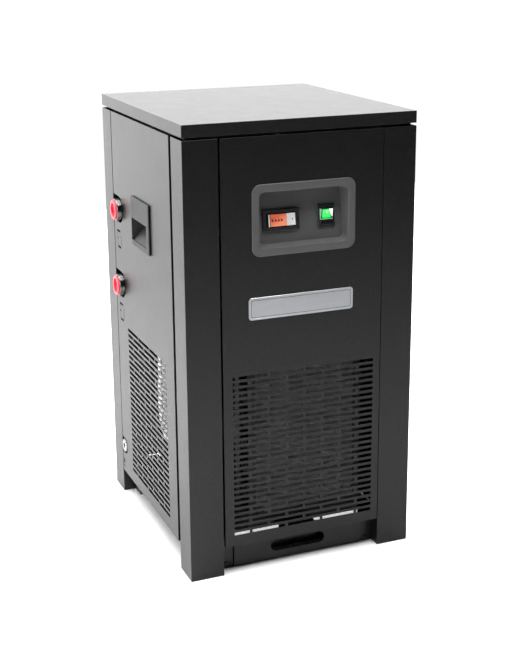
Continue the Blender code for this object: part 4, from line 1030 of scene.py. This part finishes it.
CONDUIT_ROUTE = [(-0.1025, -0.160, 0.620), (-0.135, -0.160, 0.618), (-0.175, -0.135, 0.585),
                 (-0.196, -0.080, 0.510), (-0.198, -0.042, 0.430), (-0.198, -0.036, 0.340),
                 (-0.198, -0.034, 0.250), (-0.186, -0.028, 0.198), (-0.145, 0.010, 0.168),
                 (-0.100, 0.052, 0.159), (-0.080, 0.059, 0.158), (-0.0618, 0.060, 0.158)]


WRAP_TOP = 0.40
WRAP_RINGS_LEFT_OFF = 40


def build_conduit():
    """Wiring conduit with a silvered band wound round it."""
    route = smooth_route([at(*station) for station in CONDUIT_ROUTE], 10)
    conduit = pipe("wiring_conduit_fine", route, 0.0066, 20)
    piece("wiring_conduit_fine", conduit, "conduit", replaces=["wiring_conduit"])
    lead, half, inner, outer = 0.0085, 0.0030, 0.0064, 0.0079
    section = ((inner, -half), (outer - 0.0004, -half), (outer, -half + 0.0006),
               (outer, half - 0.0006), (outer - 0.0004, half), (inner, half))
    frames = carried_frames(route)
    rings = []
    travelled = 0.0
    for (point, ahead, u, v), after in zip(frames, frames[1:]):
        length = (after[0] - point).length
        steps = max(2, int(length / lead * 22))
        for step in range(steps):
            t = step / steps
            centre = point.lerp(after[0], t)
            if centre.z < WRAP_TOP:
                direction = ahead.lerp(after[1], t).normalized()
                side, up = u.lerp(after[2], t), v.lerp(after[3], t)
                angle = 2 * pi * (travelled + length * t) / lead
                out = (cos(angle) * side + sin(angle) * up).normalized()
                rings.append([centre + reach * out + along * direction
                              for reach, along in section])
        travelled += length
    wrap = loft("wiring_conduit_wrap", rings[:-WRAP_RINGS_LEFT_OFF])
    piece("wiring_conduit_wrap", wrap, "wrap")


def build_details():
    finish_nodes()
    build_controls()
    build_badge()
    build_ports()
    build_decals()
    build_base_details()
    build_gland()
    build_condenser()
    build_fan()
    build_compressor()
    build_conduit()


# ---------------------------------------------------------------- camera and studio
def build_camera():
    """The camera stands high at the front left of the dryer and looks slightly down on it."""
    yaw, pitch, roll = radians(22.353), radians(15.238), radians(-0.360)
    data = bpy.data.cameras.new("camera")
    data.sensor_width = 36
    data.lens = 67.68
    data.shift_x, data.shift_y = 0.0008, -0.0752
    camera = bpy.data.objects.new("camera", data)
    turn = (Matrix.Rotation(-yaw, 4, 'Z') @ Matrix.Rotation(pi / 2 - pitch, 4, 'X')
            @ Matrix.Rotation(roll, 4, 'Z'))
    camera.matrix_world = Matrix.Translation((-0.8663, -2.1889, 1.1128)) @ turn
    bpy.context.scene.collection.objects.link(camera)
    bpy.context.scene.camera = camera


def softbox(name, place, aim, width, height, radiance):
    """A rectangular light whose own brightness is radiance, out of the camera's sight."""
    data = bpy.data.lights.new(name, 'AREA')
    data.shape = 'RECTANGLE'
    data.size, data.size_y = width, height
    data.energy = radiance * pi * width * height
    light = bpy.data.objects.new(name, data)
    light.location = place
    light.rotation_euler = (Vector(aim) - Vector(place)).to_track_quat('-Z', 'Y').to_euler()
    light.visible_camera = False
    bpy.context.scene.collection.objects.link(light)


def camera_only(tree, seen, otherwise):
    """A strength that is seen by the camera's own rays and otherwise takes the other value."""
    sight = tree.nodes.new('ShaderNodeLightPath')
    level = tree.nodes.new('ShaderNodeMapRange')
    level.inputs["To Min"].default_value = otherwise
    level.inputs["To Max"].default_value = seen
    tree.links.new(sight.outputs["Is Camera Ray"], level.inputs["Value"])
    return level.outputs[0]


def build_studio():
    """White world, a floor that glows around the object, and softboxes above, left and behind."""
    scene = bpy.context.scene
    scene.view_settings.view_transform = 'Standard'
    world = bpy.data.worlds.new("studio")
    scene.world = world
    world.use_nodes = True
    background = world.node_tree.nodes["Background"]
    background.inputs["Color"].default_value = (1, 1, 1, 1)
    strength = camera_only(world.node_tree, 1.02, 0.025)
    world.node_tree.links.new(strength, background.inputs["Strength"])
    bpy.ops.mesh.primitive_plane_add(size=6)
    floor = bpy.context.object
    floor.name = "floor"
    finish = Finish("floor", (0.90, 0.90, 0.90), 0.9, Emission_Color=(1, 1, 1, 1))
    beside = finish.math('SUBTRACT', finish.math('ABSOLUTE', finish.axis(0)), RIGHT)
    before = finish.math('SUBTRACT', finish.math('ABSOLUTE', finish.axis(1)), REAR)
    outside = finish.span(finish.math('MAXIMUM', beside, before), -0.01, 0.05)
    finish.link(finish.math('MULTIPLY', camera_only(finish.tree, 0.85, 0.0), outside),
                "Emission Strength")
    floor.data.materials.append(finish.material)
    softbox("overhead", (-0.2, 0.2, 2.4), (-0.2, 0.1, 0), 2.0, 2.0, 6.0)
    softbox("overhead_front", (0.25, -1.05, 2.5), (0.0, FRONT, 0.7), 1.0, 0.6, 16.0)
    softbox("overhead_back_left", (-1.3, 0.7, 2.3), (-1.2, 0.6, 0), 1.8, 1.6, 6.5)
    softbox("left", (-2.8, -0.5, 1.0), (LEFT, 0.0, 0.4), 1.4, 1.4, 8.0)
    softbox("back_wall_low", (-1.2, 3.0, 0.65), (-1.2, 0, 0.6), 8.0, 1.3, 2.4)
    softbox("back_wall_high", (-1.0, 3.0, 2.2), (-0.8, 0, 0.8), 8.0, 1.7, 2.5)


build_camera()
build_studio()
build_details()
